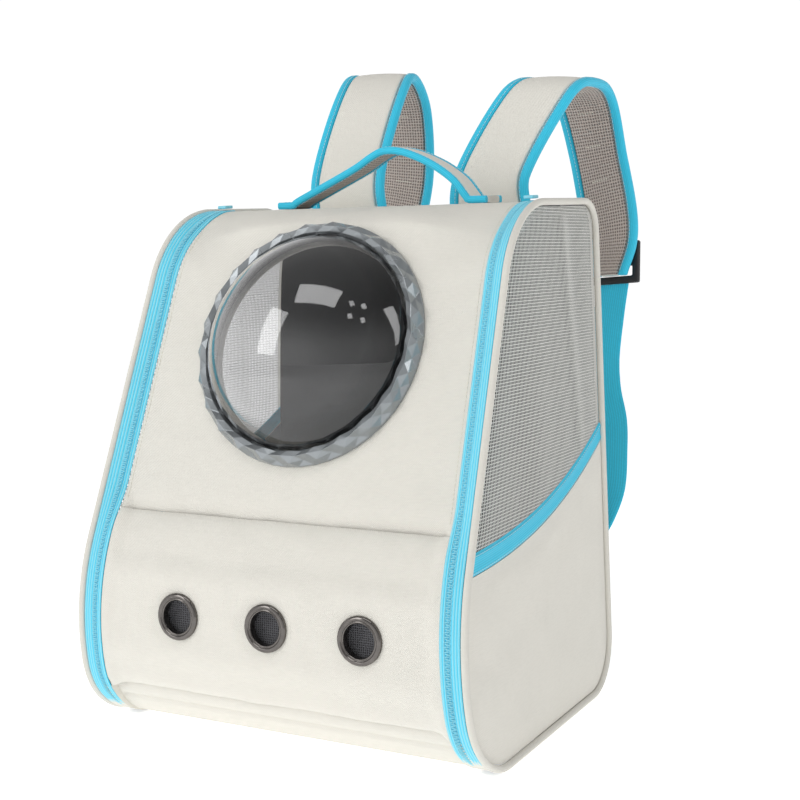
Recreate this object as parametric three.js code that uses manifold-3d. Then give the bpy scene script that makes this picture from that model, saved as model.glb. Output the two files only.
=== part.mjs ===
// Pet carrier backpack with a clear bubble window: a soft body with a vertical back and a sloping front,
// net windows in its sides, a zip down each front edge, a carrying handle and two padded shoulder straps.
// Millimetres. +Z is up, -Y is the front with the bubble, +X is on the viewer's right seen from the front.
// The origin is on the flat base, which stands on z = 0, in the middle of the width.
import * as THREE from 'three';
import { mergeVertices } from 'three/addons/utils/BufferGeometryUtils.js';
import Module from 'manifold-3d';

const wasm = await Module();
wasm.setup();

// Outline of the body seen from the side: corner places and the radii that round them
const BACK_Y = 158;
const BACK_TOP_Z = 416;
const BACK_TOP_RADIUS = 26;
const BACK_FOOT_RADIUS = 46;
const FRONT_FOOT_Y = -118;
const FRONT_FOOT_RADIUS = 68;
const KNEE_Y = -139;
const KNEE_Z = 108;
const KNEE_RADIUS = 175;
const RIDGE_Y = -17;
const RIDGE_Z = 411;
const RIDGE_RADIUS = 90;

// Widths across the body, and the clearance between neighbouring pieces
const BODY_WIDTH = 345;
const SIDE_LEAN = 14;
const GAP = 0.3;
const PIPING_RADIUS = 2.8;
const ZIP_BAND = 16;
const ZIP_OUTER_TAPE = 7.4;
const ZIP_COIL_WIDTH = 4.4;
const ZIP_COIL_HEIGHT = 1.6;
const ZIP_TAPE = 1.2;
const ZIP_BELOW_SEAM = 52;
const SLIDER_LENGTH = 12;
const SLIDER_WIDTH = 8;
const SLIDER_HEIGHT = 2.6;
const SLIDER_GAP = 0.7;

// Cloth walls, and how deep each skin lies inside the outline
const PANEL_WALL = 2.5;
const BACK_WALL = 5;
const SIDE_WALL = 2;
const EDGE_DEPTH = 2.5;
const LOWER_DEPTH = 6;
const LOWER_EDGE_ROLL = 14;
const UPPER_DEPTH = 9;
const CREASE_DEPTH = 11;
const SHOULDER = 22;
const SEAM_ROLL = 12;
const SEAM_DEPTH = 8;

// Heights of the seams on the front, and the seam behind the ridge
const SEAM_Z = 33;
const CREASE_Z = 179;
const TOP_SEAM_BEHIND_RIDGE = 12;

// Bubble window
const RING_Z = 308;
const RING_OUTER_RADIUS = 98;
const RING_WIDTH = 12;
const RING_HEIGHT = 12.5;
const RING_SEGMENTS = 40;
const DOME_RISE = 50;
const DOME_RIM = 10;
const DOME_WALL = 2;
const WINDOW_LIP = 5;
const CATCH_WIDTH = 17;
const CATCH_DEPTH = 5;
const CATCH_HEIGHT = 5;
const CATCH_X = 7;
const CATCH_SUNK = 1;
const CATCH_INSET = 1.5;

// Eyelets in the lower front panel
const EYELET_Z = 101;
const EYELET_SPACING = 81;
const EYELET_SHIFT = 4;
const EYELET_OUTER_RADIUS = 18;
const EYELET_BORE_RADIUS = 12.4;
const EYELET_BARREL_WALL = 1.2;
const EYELET_FLANGE = 1;
const EYELET_ROLL = 3.2;
const EYELET_SEAT = 24;

// Binding between the net window and the cloth of each side
const BINDING_FRONT_Z = 158;
const BINDING_RISE = 65;
const BINDING_CURVE_POWER = 2.4;
const BINDING_WIDTH = 15.5;
const BINDING_PROUD = 0.6;

// Carrying handle on the top
const HANDLE_Y = 78;
const HANDLE_WIDTH = 33;
const HANDLE_SPAN = 166;
const HANDLE_RISE = 42;
const HANDLE_THICKNESS = 5;
const HANDLE_BINDING_WIDTH = 5;
const BINDING_FOLD = 0.5;

// Shoulder straps
const STRAP_FROM_SIDE = 100.5;
const STRAP_Z = 400;
const STRAP_REACH = 149;
const STRAP_RISE_LEFT = 140;
const STRAP_RISE_RIGHT = 124;
const STRAP_SPREAD = 50;
const STRAP_WIDTH = 78;
const STRAP_THICKNESS = 7;
const STRAP_BINDING_WIDTH = 9;
const STRAP_BINDING_GAP = 0.48;

// Webbing and its buckle
const WEBBING_FOOT_Z = 112;
const WEBBING_SEAT = 45;
const WEBBING_WIDTH = 32;
const WEBBING_THICKNESS = 2;
const BUCKLE_WIDTH = 54;
const BUCKLE_HEIGHT = 40;
const BUCKLE_THICKNESS = 5;
const BUCKLE_BAR = 7;
const BUCKLE_GAP = 1.2;

// Fineness of the facets
const ARC_STEP = 0.2;
const LINE_STEP = 60;
const ROUND_SEGMENTS = 32;
const EYELET_SEGMENTS = 16;
const PIPING_SIDES = 6;
const BINDING_STEPS = 10;

// Places worked out from the sizes above
const HALF_WIDTH = BODY_WIDTH / 2;
const PIPING_X = HALF_WIDTH - PIPING_RADIUS;
const HALF_SKIN = PIPING_X - PIPING_RADIUS - GAP;
const HALF_FRONT = HALF_SKIN - ZIP_BAND;
const COIL_OUTER_X = HALF_SKIN - ZIP_OUTER_TAPE;
const COIL_INNER_X = COIL_OUTER_X - ZIP_COIL_WIDTH;
const SIDE_INSET = 2 * PIPING_RADIUS + GAP;
const DOME_RADIUS = RING_OUTER_RADIUS - RING_WIDTH;
const WINDOW_HOLE_RADIUS = DOME_RADIUS - WINDOW_LIP;
const EYELET_BARREL = EYELET_BORE_RADIUS + EYELET_BARREL_WALL;
const STRAP_X = HALF_WIDTH - STRAP_FROM_SIDE;

// Colours, roughness and metalness
const CREAM = { color: 0xf0ede4, roughness: 0.85, metalness: 0 };
const EDGE_CREAM = { color: 0xe1decd, roughness: 0.7, metalness: 0 };
const BLUE = { color: 0x45b9da, roughness: 0.8, metalness: 0 };
const ZIP_BLUE = { color: 0x7dcfe4, roughness: 0.5, metalness: 0 };
const NET = { color: 0x9c9a96, roughness: 0.9, metalness: 0 };
const RING_GREY = { color: 0x878c91, roughness: 0.45, metalness: 0 };
const SMOKED = { color: 0x6d6d70, roughness: 0.05, metalness: 0 };
const BLACK = { color: 0x17171a, roughness: 0.5, metalness: 0 };
const GUNMETAL = { color: 0x5d5c5c, roughness: 0.25, metalness: 1 };

const clamp = (value, low, high) => Math.min(high, Math.max(low, value));
const mix = (a, b, share) => a + (b - a) * share;

function smooth(from, to, value) {
  const share = clamp((value - from) / (to - from), 0, 1);
  return share * share * (3 - 2 * share);
}

// Closed outline of straight sides joined by arcs. Distance runs along it from the middle of the
// first corner's arc. Radii shrink together where two arcs would meet on a short side.
function roundedOutline(corners) {
  const count = corners.length;
  const places = corners.map((corner) => new THREE.Vector2(corner.y, corner.z));
  const arcs = corners.map((corner, i) => {
    const back = places[(i + count - 1) % count].clone().sub(places[i]).normalize();
    const ahead = places[(i + 1) % count].clone().sub(places[i]).normalize();
    const turn = Math.PI - Math.acos(clamp(back.dot(ahead), -1, 1));
    return { back, ahead, turn, tangent: corner.radius * Math.tan(turn / 2) };
  });
  for (let i = 0; i < count; i++) {
    const next = (i + 1) % count;
    const fit = (0.98 * places[i].distanceTo(places[next])) / (arcs[i].tangent + arcs[next].tangent);
    if (fit < 1) {
      arcs[i].tangent *= fit;
      arcs[next].tangent *= fit;
    }
  }
  const pieces = [];
  const arcPieces = (i, from, to) => {
    const { back, ahead, turn, tangent } = arcs[i];
    const radius = tangent / Math.tan(turn / 2);
    const inward = back.clone().add(ahead).normalize();
    const centre = places[i].clone().addScaledVector(inward, radius / Math.cos(turn / 2));
    const start = places[i].clone().addScaledVector(back, tangent).sub(centre).angle();
    pieces.push({
      length: radius * turn * (to - from),
      at: (share) => {
        const angle = start - turn * mix(from, to, share);
        const normal = new THREE.Vector2(Math.cos(angle), Math.sin(angle));
        return { place: centre.clone().addScaledVector(normal, radius), normal };
      },
      arcAngle: turn * (to - from),
      corner: corners[i].name,
    });
  };
  arcPieces(0, 0.5, 1);
  for (let i = 0; i < count; i++) {
    const next = (i + 1) % count;
    const from = places[i].clone().addScaledVector(arcs[i].ahead, arcs[i].tangent);
    const to = places[next].clone().addScaledVector(arcs[next].back, arcs[next].tangent);
    const along = arcs[i].ahead;
    const normal = new THREE.Vector2(-along.y, along.x);
    pieces.push({
      length: from.distanceTo(to),
      at: (share) => ({ place: from.clone().lerp(to, share), normal }),
      arcAngle: 0,
    });
    if (next) arcPieces(next, 0, 1);
  }
  arcPieces(0, 0, 0.5);
  let total = 0;
  for (const piece of pieces) {
    piece.start = total;
    total += piece.length;
  }
  const at = (distance) => {
    const wrapped = ((distance % total) + total) % total;
    const piece = pieces.find((each) => wrapped <= each.start + each.length) ?? pieces.at(-1);
    return piece.at(piece.length ? (wrapped - piece.start) / piece.length : 0);
  };
  // Distances from one place to another, with a step at each change of form and along each arc
  const steps = (from, to, extra = []) => {
    const marks = [from, to, ...extra.filter((mark) => mark > from && mark < to)];
    for (const piece of pieces) {
      const parts = Math.ceil(Math.max(piece.arcAngle / ARC_STEP, piece.length / LINE_STEP, 1));
      for (let k = 0; k <= parts; k++) {
        const mark = piece.start + (piece.length * k) / parts;
        if (mark > from && mark < to) marks.push(mark);
      }
    }
    marks.sort((a, b) => a - b);
    const least = 0.8;
    const kept = marks.filter((mark) => mark === from || mark === to || extra.includes(mark)
      || !marks.some((other) => Math.abs(other - mark) < least && other !== mark
        && (other === from || other === to || extra.includes(other) || other < mark)));
    return [...new Set(kept)];
  };
  const arcEnd = (corner, share) => {
    const piece = pieces.find((each) => each.corner === corner);
    return piece.start + piece.length * share;
  };
  return { at, steps, arcEnd, length: total };
}

const CORNERS = [
  { name: 'back foot', y: BACK_Y, z: 0, radius: BACK_FOOT_RADIUS },
  { name: 'front foot', y: FRONT_FOOT_Y, z: 0, radius: FRONT_FOOT_RADIUS },
  { name: 'knee', y: KNEE_Y, z: KNEE_Z, radius: KNEE_RADIUS },
  { name: 'ridge', y: RIDGE_Y, z: RIDGE_Z, radius: RIDGE_RADIUS },
  { name: 'back top', y: BACK_Y, z: BACK_TOP_Z, radius: BACK_TOP_RADIUS },
];
const outline = roundedOutline(CORNERS);

// Distance along the outline where it passes a level: up the front, or back along the top
function distanceWhere(from, to, level, axis) {
  let low = from;
  let high = to;
  for (let i = 0; i < 40; i++) {
    const middle = (low + high) / 2;
    if (outline.at(middle).place[axis] < level) low = middle;
    else high = middle;
  }
  return low;
}

const BACK_FOOT_END = outline.arcEnd('back foot', 1);
const FRONT_START = outline.arcEnd('front foot', 0);
const RIDGE_START = outline.arcEnd('ridge', 0);
const RIDGE_END = outline.arcEnd('ridge', 1);
const BACK_TOP_MIDDLE = outline.arcEnd('back top', 0.5);
const upFront = (height) => distanceWhere(FRONT_START, RIDGE_END, height, 'y');
const SEAM = upFront(SEAM_Z);
const CREASE = upFront(CREASE_Z);
const RING_PLACE = upFront(RING_Z);
const EYELET_PLACE = upFront(EYELET_Z);
const TOP_SEAM = RIDGE_END + TOP_SEAM_BEHIND_RIDGE;
const ZIP_START = SEAM - ZIP_BELOW_SEAM;
const RING_TOP = RING_PLACE + RING_OUTER_RADIUS + GAP;

function uprightPoint(x, distance, depth) {
  const { place, normal } = outline.at(distance);
  return new THREE.Vector3(x, place.x - normal.x * depth, place.y - normal.y * depth);
}

// The body narrows upwards: its edges keep their width and move in, and its panels narrow between them
function leanIn(point) {
  const inward = (SIDE_LEAN / RIDGE_Z) * point.z;
  point.x -= Math.sign(point.x) * inward * Math.min(Math.abs(point.x) / HALF_FRONT, 1);
  return point;
}

function skinPoint(x, distance, depth) {
  return leanIn(uprightPoint(x, distance, depth));
}

function leaned(geometry) {
  const place = geometry.getAttribute('position');
  for (let i = 0; i < place.count; i++) {
    const point = leanIn(new THREE.Vector3().fromBufferAttribute(place, i));
    place.setXYZ(i, point.x, point.y, point.z);
  }
  return geometry;
}

// Depth that puts a place of the outline on the flat plane lying at a depth below another place
function flatDepth(distance, centre, depth) {
  const here = outline.at(distance);
  const seat = outline.at(centre);
  const above = here.place.clone().sub(seat.place).dot(seat.normal);
  return (above + depth) / here.normal.dot(seat.normal);
}

// Depth of the front along the edge of its panels
function frontEdgeDepth(distance) {
  const rising = smooth(CREASE - SHOULDER, CREASE + SHOULDER, distance);
  const top = smooth(mix(RIDGE_START, RIDGE_END, 0.5), TOP_SEAM, distance);
  return mix(mix(EDGE_DEPTH, UPPER_DEPTH, rising), EDGE_DEPTH, top);
}

function zipDepth(distance, x) {
  const share = clamp((HALF_SKIN - Math.abs(x)) / (HALF_SKIN - HALF_FRONT), 0, 1);
  return mix(EDGE_DEPTH, frontEdgeDepth(distance), share);
}

// The upper panel is flat under the ring, dips to the crease and rolls over the ridge
function upperDepth(distance, x) {
  const edge = frontEdgeDepth(distance);
  const across = 1 - smooth(0.64 * RING_OUTER_RADIUS, HALF_FRONT, Math.abs(x));
  const along = 1 - smooth(RING_TOP, TOP_SEAM, distance);
  const beyond = Math.min(distance, RING_TOP);
  const flat = flatDepth(beyond, RING_PLACE, UPPER_DEPTH);
  const seat = distance > RING_PLACE ? mix(edge, flat, across * along) : UPPER_DEPTH;
  const dip = 1 - smooth(CREASE, CREASE + SHOULDER, distance);
  return mix(seat, CREASE_DEPTH, dip);
}

// The lower panel is padded: flat round the eyelets, with a round shoulder below the crease
function lowerDepth(distance, x) {
  const away = Math.abs(distance - EYELET_PLACE);
  const hold = 1 - smooth(EYELET_SEAT, 2 * EYELET_SEAT, away);
  const flat = flatDepth(distance, EYELET_PLACE, LOWER_DEPTH);
  const shoulder = clamp((distance - (CREASE - SHOULDER)) / SHOULDER, 0, 1);
  const roll = clamp((SEAM + SEAM_ROLL - distance) / SEAM_ROLL, 0, 1);
  const drop = (CREASE_DEPTH - LOWER_DEPTH) * (1 - Math.sqrt(1 - shoulder * shoulder));
  const tuck = (SEAM_DEPTH - LOWER_DEPTH) * (1 - Math.sqrt(1 - roll * roll));
  const inside = smooth(HALF_FRONT, HALF_FRONT - LOWER_EDGE_ROLL, Math.abs(x));
  return mix(EDGE_DEPTH, mix(LOWER_DEPTH, flat, hold), inside) + drop + tuck;
}

// The base stands flat on the floor and rises to the depth of its neighbours at both ends
function baseDepth(distance, x) {
  const backRoll = 1 - smooth(0, BACK_FOOT_END, distance);
  const front = smooth(FRONT_START, SEAM, distance);
  const atFront = Math.abs(x) <= HALF_FRONT ? SEAM_DEPTH : EDGE_DEPTH;
  return EDGE_DEPTH * backRoll + atFront * front;
}

// Bodies from rows of points: each closed, its faces turned outwards
function bodyFrom(positions, triangles) {
  const geometry = new THREE.BufferGeometry();
  geometry.setAttribute('position', new THREE.Float32BufferAttribute(positions, 3));
  geometry.setIndex(triangles);
  return outwards(geometry);
}

function outwards(geometry) {
  for (const name of Object.keys(geometry.attributes)) {
    if (name !== 'position') geometry.deleteAttribute(name);
  }
  const merged = mergeVertices(geometry, 1e-4);
  const place = merged.getAttribute('position');
  const corner = (i) => new THREE.Vector3().fromBufferAttribute(place, i);
  const faces = [];
  let volume = 0;
  for (let i = 0; i < merged.index.count; i += 3) {
    const [a, b, c] = [0, 1, 2].map((k) => merged.index.getX(i + k));
    if (a === b || b === c || c === a) continue;
    faces.push([a, b, c]);
    volume += corner(a).dot(corner(b).cross(corner(c)));
  }
  merged.setIndex(faces.flatMap(([a, b, c]) => (volume > 0 ? [a, b, c] : [a, c, b])));
  return merged;
}

// A sheet with thickness: two grids of points, joined round the edge
function sheetBody(front, back) {
  const rows = front.length;
  const columns = front[0].length;
  const positions = [];
  const triangles = [];
  for (const grid of [front, back]) {
    for (const row of grid) for (const point of row) positions.push(point.x, point.y, point.z);
  }
  const index = (side, i, j) => side * rows * columns + i * columns + j;
  const quad = (a, b, c, d) => triangles.push(a, b, c, a, c, d);
  for (let i = 0; i + 1 < rows; i++) {
    for (let j = 0; j + 1 < columns; j++) {
      quad(index(0, i, j), index(0, i + 1, j), index(0, i + 1, j + 1), index(0, i, j + 1));
      quad(index(1, i, j), index(1, i, j + 1), index(1, i + 1, j + 1), index(1, i + 1, j));
    }
    quad(index(0, i, 0), index(1, i, 0), index(1, i + 1, 0), index(0, i + 1, 0));
    const j = columns - 1;
    quad(index(0, i, j), index(0, i + 1, j), index(1, i + 1, j), index(1, i, j));
  }
  for (let j = 0; j + 1 < columns; j++) {
    quad(index(0, 0, j), index(0, 0, j + 1), index(1, 0, j + 1), index(1, 0, j));
    const i = rows - 1;
    quad(index(0, i, j), index(1, i, j), index(1, i, j + 1), index(0, i, j + 1));
  }
  return bodyFrom(positions, triangles);
}

// A bar through sections of four or more points each, with flat ends or closed into a loop
function barBody(sections, loop = false) {
  const sides = sections[0].length;
  const positions = sections.flatMap((section) => section.flatMap((point) => point.toArray()));
  const triangles = [];
  const last = loop ? sections.length : sections.length - 1;
  for (let i = 0; i < last; i++) {
    const next = (i + 1) % sections.length;
    for (let j = 0; j < sides; j++) {
      const ahead = (j + 1) % sides;
      const [a, b] = [i * sides + j, i * sides + ahead];
      const [c, d] = [next * sides + ahead, next * sides + j];
      triangles.push(a, b, c, a, c, d);
    }
  }
  if (!loop) {
    const end = (sections.length - 1) * sides;
    for (let j = 1; j + 1 < sides; j++) {
      triangles.push(0, j + 1, j, end, end + j, end + j + 1);
    }
  }
  return bodyFrom(positions, triangles);
}

function solidOf(geometry) {
  const merged = outwards(geometry.clone());
  return new wasm.Manifold(new wasm.Mesh({
    numProp: 3,
    vertProperties: new Float32Array(merged.getAttribute('position').array),
    triVerts: new Uint32Array(merged.index.array),
  }));
}

function geometryOf(solid) {
  const mesh = solid.getMesh();
  return bodyFrom(Array.from(mesh.vertProperties), Array.from(mesh.triVerts));
}

function cut(geometry, cutters) {
  let solid = solidOf(geometry);
  for (const cutter of cutters) solid = solid.subtract(solidOf(cutter));
  return geometryOf(solid);
}

function common(geometry, other) {
  return geometryOf(solidOf(geometry).intersect(solidOf(other)));
}

const group = new THREE.Group();

function add(name, geometry, look, matrix = null) {
  const mesh = new THREE.Mesh(geometry, new THREE.MeshStandardMaterial(look));
  mesh.name = name;
  if (matrix) mesh.applyMatrix4(matrix);
  group.add(mesh);
  return mesh;
}

// A strip of skin between two places of the outline and two or more places across
function strip({ from, to, across, depth, wall, extra = [] }) {
  const rows = outline.steps(from, to, extra);
  const grid = (more) => rows.map((distance) => (
    across.map((x) => skinPoint(x, distance, depth(distance, x) + more))));
  return sheetBody(grid(0), grid(wall));
}

const spread = (half, shares) => shares.map((share) => share * half);

// A turned frame standing on the skin: its own Y is the outward normal, its Z runs down the skin
function seatFrame(x, distance, depth) {
  const { normal } = outline.at(distance);
  const out = new THREE.Vector3(0, normal.x, normal.y);
  const right = new THREE.Vector3(1, 0, 0);
  const down = new THREE.Vector3().crossVectors(right, out);
  return new THREE.Matrix4().makeBasis(right, out, down).setPosition(skinPoint(x, distance, depth));
}

function drum(radius, height, segments, frame) {
  return new THREE.CylinderGeometry(radius, radius, height, segments).applyMatrix4(frame);
}

const ringFrame = seatFrame(0, RING_PLACE, UPPER_DEPTH);
const eyeletPlaces = [-1, 0, 1].map((k) => seatFrame(
  EYELET_SHIFT + k * EYELET_SPACING, EYELET_PLACE, LOWER_DEPTH));

function frontPanels() {
  const upper = strip({
    from: CREASE + GAP / 2,
    to: TOP_SEAM - GAP / 2,
    across: spread(HALF_FRONT, [-1, -0.85, -0.64, -0.45, 0, 0.45, 0.64, 0.85, 1]),
    depth: upperDepth,
    wall: PANEL_WALL,
    extra: [CREASE + SHOULDER / 2, CREASE + SHOULDER, RING_PLACE, RING_TOP],
  });
  const hole = drum(WINDOW_HOLE_RADIUS, 8 * PANEL_WALL, ROUND_SEGMENTS, ringFrame);
  add('front_panel_upper', cut(upper, [hole]), CREAM);

  const shoulderShares = [0, 0.5, 0.8, 0.94];
  const rollInside = HALF_FRONT - LOWER_EDGE_ROLL;
  const lower = strip({
    from: SEAM + GAP / 2,
    to: CREASE - GAP / 2,
    across: [-HALF_FRONT, -rollInside, -HALF_FRONT / 2, 0, HALF_FRONT / 2, rollInside, HALF_FRONT],
    depth: lowerDepth,
    wall: PANEL_WALL,
    extra: [
      ...shoulderShares.map((share) => CREASE - SHOULDER * (1 - share)),
      SEAM + SEAM_ROLL * 0.2,
      SEAM + SEAM_ROLL,
      EYELET_PLACE - EYELET_SEAT,
      EYELET_PLACE + EYELET_SEAT,
    ],
  });
  const holes = eyeletPlaces.map((frame) => (
    drum(EYELET_BARREL + GAP, 8 * PANEL_WALL, EYELET_SEGMENTS, frame)));
  add('front_panel_lower', cut(lower, holes), CREAM);
}

function otherPanels() {
  add('top_panel', strip({
    from: TOP_SEAM + GAP / 2,
    to: BACK_TOP_MIDDLE - GAP / 2,
    across: spread(HALF_SKIN, [-1, -0.4, 0.4, 1]),
    depth: () => EDGE_DEPTH,
    wall: PANEL_WALL,
  }), CREAM);
  add('back_panel', strip({
    from: BACK_TOP_MIDDLE + GAP / 2,
    to: outline.length - GAP / 2,
    across: spread(HALF_SKIN, [-1, -0.4, 0.4, 1]),
    depth: () => EDGE_DEPTH,
    wall: BACK_WALL,
  }), CREAM);
  const base = strip({
    from: GAP / 2,
    to: SEAM - GAP / 2,
    across: [-HALF_SKIN, -HALF_FRONT - GAP / 2, -HALF_FRONT, 0, HALF_FRONT, HALF_FRONT + GAP / 2, HALF_SKIN],
    depth: baseDepth,
    wall: PANEL_WALL,
    extra: [ZIP_START - GAP],
  });
  const slots = [-1, 1].map((side) => strip({
    from: ZIP_START - GAP,
    to: SEAM + PANEL_WALL,
    across: [side * HALF_FRONT, side * (HALF_SKIN + GAP)],
    depth: () => -PANEL_WALL,
    wall: 8 * PANEL_WALL,
  }));
  add('base_panel', cut(base, slots), CREAM);
}

// Flat side of the body in its own plane: the outline drawn in by an inset
function sidePlate(side, inset, inner, wall) {
  const points = outline.steps(0, outline.length - 1).map((distance) => {
    const { place, normal } = outline.at(distance);
    return place.clone().addScaledVector(normal, -inset);
  });
  return plateFrom(points, side, inner, wall);
}

function plateFrom(points, side, inner, wall) {
  const axes = new THREE.Matrix4().makeBasis(
    new THREE.Vector3(0, 1, 0), new THREE.Vector3(0, 0, 1), new THREE.Vector3(1, 0, 0));
  const start = side > 0 ? inner : -inner - wall;
  return new THREE.ExtrudeGeometry(new THREE.Shape(points), { depth: wall, bevelEnabled: false })
    .applyMatrix4(axes).translate(start, 0, 0);
}

// Region of a side between two lines that follow the binding's curve, each shifted up or down
function sideRegion(side, low, high, inner, wall) {
  const reach = 2 * UPPER_DEPTH;
  const front = KNEE_Y - reach;
  const back = BACK_Y + reach;
  const line = (shift) => Array.from({ length: BINDING_STEPS + 1 }, (_, i) => {
    const y = mix(front, back, i / BINDING_STEPS);
    const along = clamp((y - KNEE_Y) / (BACK_Y - KNEE_Y), 0, 1.1);
    return new THREE.Vector2(y, BINDING_FRONT_Z + BINDING_RISE * along ** BINDING_CURVE_POWER + shift);
  });
  return plateFrom([...line(low), ...line(high).reverse()], side, inner, wall);
}

function sides() {
  const inner = HALF_SKIN + GAP;
  const tall = RIDGE_Z + BACK_TOP_Z;
  const half = BINDING_WIDTH / 2;
  for (const [name, side] of [['left', -1], ['right', 1]]) {
    const plate = sidePlate(side, SIDE_INSET, inner, SIDE_WALL);
    const above = sideRegion(side, half + GAP, tall, inner - 1, SIDE_WALL + 2);
    const below = sideRegion(side, -tall, -half - GAP, inner - 1, SIDE_WALL + 2);
    add(`mesh_window_${name}`, leaned(common(plate, above)), NET);
    add(`side_panel_${name}`, leaned(common(plate, below)), CREAM);
    const raised = sidePlate(side, SIDE_INSET, inner, SIDE_WALL + BINDING_PROUD);
    const band = sideRegion(side, -half, half, inner - 2, SIDE_WALL + 4);
    add(`side_binding_${name}`, leaned(common(raised, band)), BLUE);
    add(`piping_${name}`, piping(side), EDGE_CREAM);
  }
}

function piping(side) {
  const turns = Array.from({ length: PIPING_SIDES }, (_, k) => (2 * Math.PI * (k + 0.5)) / PIPING_SIDES);
  const sections = outline.steps(0, outline.length - 1).map((distance) => turns.map((turn) => (
    skinPoint(
      side * (PIPING_X + PIPING_RADIUS * Math.cos(turn)),
      distance,
      PIPING_RADIUS * (1 - Math.sin(turn)),
    ))));
  return barBody(sections, true);
}

function zips() {
  const from = ZIP_START;
  const to = TOP_SEAM - GAP / 2;
  const coilDepth = (distance) => (
    zipDepth(distance, (COIL_INNER_X + COIL_OUTER_X) / 2) - GAP - ZIP_COIL_HEIGHT);
  for (const [name, side] of [['left', -1], ['right', 1]]) {
    const extra = [CREASE - SHOULDER, CREASE, CREASE + SHOULDER];
    add(`zip_tape_${name}`, strip({
      from, to, extra,
      across: [HALF_FRONT + GAP, COIL_INNER_X, COIL_OUTER_X, HALF_SKIN].map((x) => side * x),
      depth: zipDepth,
      wall: ZIP_TAPE,
    }), BLUE);
    const lean = (distance, x) => zipDepth(distance, x) - GAP - ZIP_COIL_HEIGHT;
    add(`zip_coil_${name}`, strip({
      from, to, extra,
      across: [side * COIL_INNER_X, side * COIL_OUTER_X],
      depth: lean,
      wall: ZIP_COIL_HEIGHT,
    }), ZIP_BLUE);
    const middle = side * ((COIL_INNER_X + COIL_OUTER_X) / 2);
    add(`zip_slider_${name}`, strip({
      from: to - SLIDER_LENGTH,
      to: to - GAP,
      across: [middle - SLIDER_WIDTH / 2, middle + SLIDER_WIDTH / 2],
      depth: (distance) => coilDepth(distance) - SLIDER_GAP - SLIDER_HEIGHT,
      wall: SLIDER_HEIGHT,
    }), ZIP_BLUE);
  }
}

// The ring's rows of corners stand half a step apart, so its surface breaks into triangles.
// Heights are shares of the ring's height, places across are shares from its bore to its edge.
const RING_ROWS = [
  { across: 0, up: 0, turn: 0 },
  { across: 1, up: 0, turn: 0 },
  { across: 0.98, up: 0.22, turn: 0 },
  { across: 0.82, up: 0.72, turn: 0.5 },
  { across: 0.42, up: 1, turn: 0 },
  { across: 0.06, up: 0.82, turn: 0.5 },
  { across: 0, up: 0.6, turn: 0 },
];

function bubble() {
  const bore = DOME_RADIUS + GAP;
  const sections = Array.from({ length: RING_SEGMENTS }, (_, i) => RING_ROWS.map((row) => {
    const angle = (2 * Math.PI * (i + row.turn)) / RING_SEGMENTS;
    const radius = mix(bore / Math.cos(Math.PI / RING_SEGMENTS), RING_OUTER_RADIUS, row.across);
    const height = GAP + row.up * RING_HEIGHT;
    return new THREE.Vector3(radius * Math.sin(angle), height, radius * Math.cos(angle));
  }));
  add('bubble_ring', barBody(sections, true), RING_GREY, ringFrame);
  const catchPlace = new THREE.Matrix4().makeTranslation(
    CATCH_X, DOME_RIM + CATCH_HEIGHT / 2 - CATCH_SUNK, -(DOME_RADIUS - CATCH_INSET - CATCH_DEPTH / 2));
  const block = (shrink) => new THREE.BoxGeometry(
    CATCH_WIDTH - shrink, CATCH_HEIGHT - shrink, CATCH_DEPTH - shrink).applyMatrix4(catchPlace);
  add('bubble_dome', cut(domeShell(), [block(0)]), SMOKED, ringFrame);
  add('bubble_catch', block(2 * GAP), BLACK, ringFrame);
}

// A short cylinder standing on the panel, closed by a part of a ball, as an even wall
function domeShell() {
  const ball = (DOME_RADIUS ** 2 + DOME_RISE ** 2) / (2 * DOME_RISE);
  const reach = Math.asin(DOME_RADIUS / ball);
  const centre = GAP + DOME_RIM + DOME_RISE - ball;
  const count = 7;
  const innerBall = ball - DOME_WALL;
  const innerReach = Math.asin((DOME_RADIUS - DOME_WALL) / innerBall);
  const arc = (radius, angle) => new THREE.Vector2(
    radius * Math.sin(angle), centre + radius * Math.cos(angle));
  const outer = Array.from({ length: count }, (_, i) => arc(ball, (reach * i) / (count - 1)));
  const inner = Array.from({ length: count }, (_, i) => (
    arc(innerBall, (innerReach * (count - 1 - i)) / (count - 1))));
  outer[0].x = 0;
  inner.at(-1).x = 0;
  const rim = [
    new THREE.Vector2(DOME_RADIUS, GAP),
    new THREE.Vector2(DOME_RADIUS - DOME_WALL, GAP),
  ];
  return outwards(new THREE.LatheGeometry([...outer, ...rim, ...inner], ROUND_SEGMENTS));
}

// Half section of an eyelet: a rolled rim outside the panel, a barrel through it, a flange behind
function eyelets() {
  const behind = -PANEL_WALL - GAP;
  const flange = mix(EYELET_BORE_RADIUS, EYELET_OUTER_RADIUS, 0.7);
  const profile = [
    [EYELET_BORE_RADIUS, behind - EYELET_FLANGE],
    [EYELET_BORE_RADIUS, 0.4 * EYELET_ROLL],
    [mix(EYELET_BORE_RADIUS, EYELET_OUTER_RADIUS, 0.25), EYELET_ROLL],
    [flange, EYELET_ROLL],
    [EYELET_OUTER_RADIUS, 0.35 * EYELET_ROLL],
    [EYELET_OUTER_RADIUS, GAP],
    [EYELET_BARREL, GAP],
    [EYELET_BARREL, behind],
    [flange, behind],
    [flange, behind - EYELET_FLANGE],
    [EYELET_BORE_RADIUS, behind - EYELET_FLANGE],
  ].map(([radius, height]) => new THREE.Vector2(radius, height));
  eyeletPlaces.forEach((frame, i) => {
    add(`eyelet_${i + 1}`, outwards(new THREE.LatheGeometry(profile, EYELET_SEGMENTS)), GUNMETAL, frame);
  });
}

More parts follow.
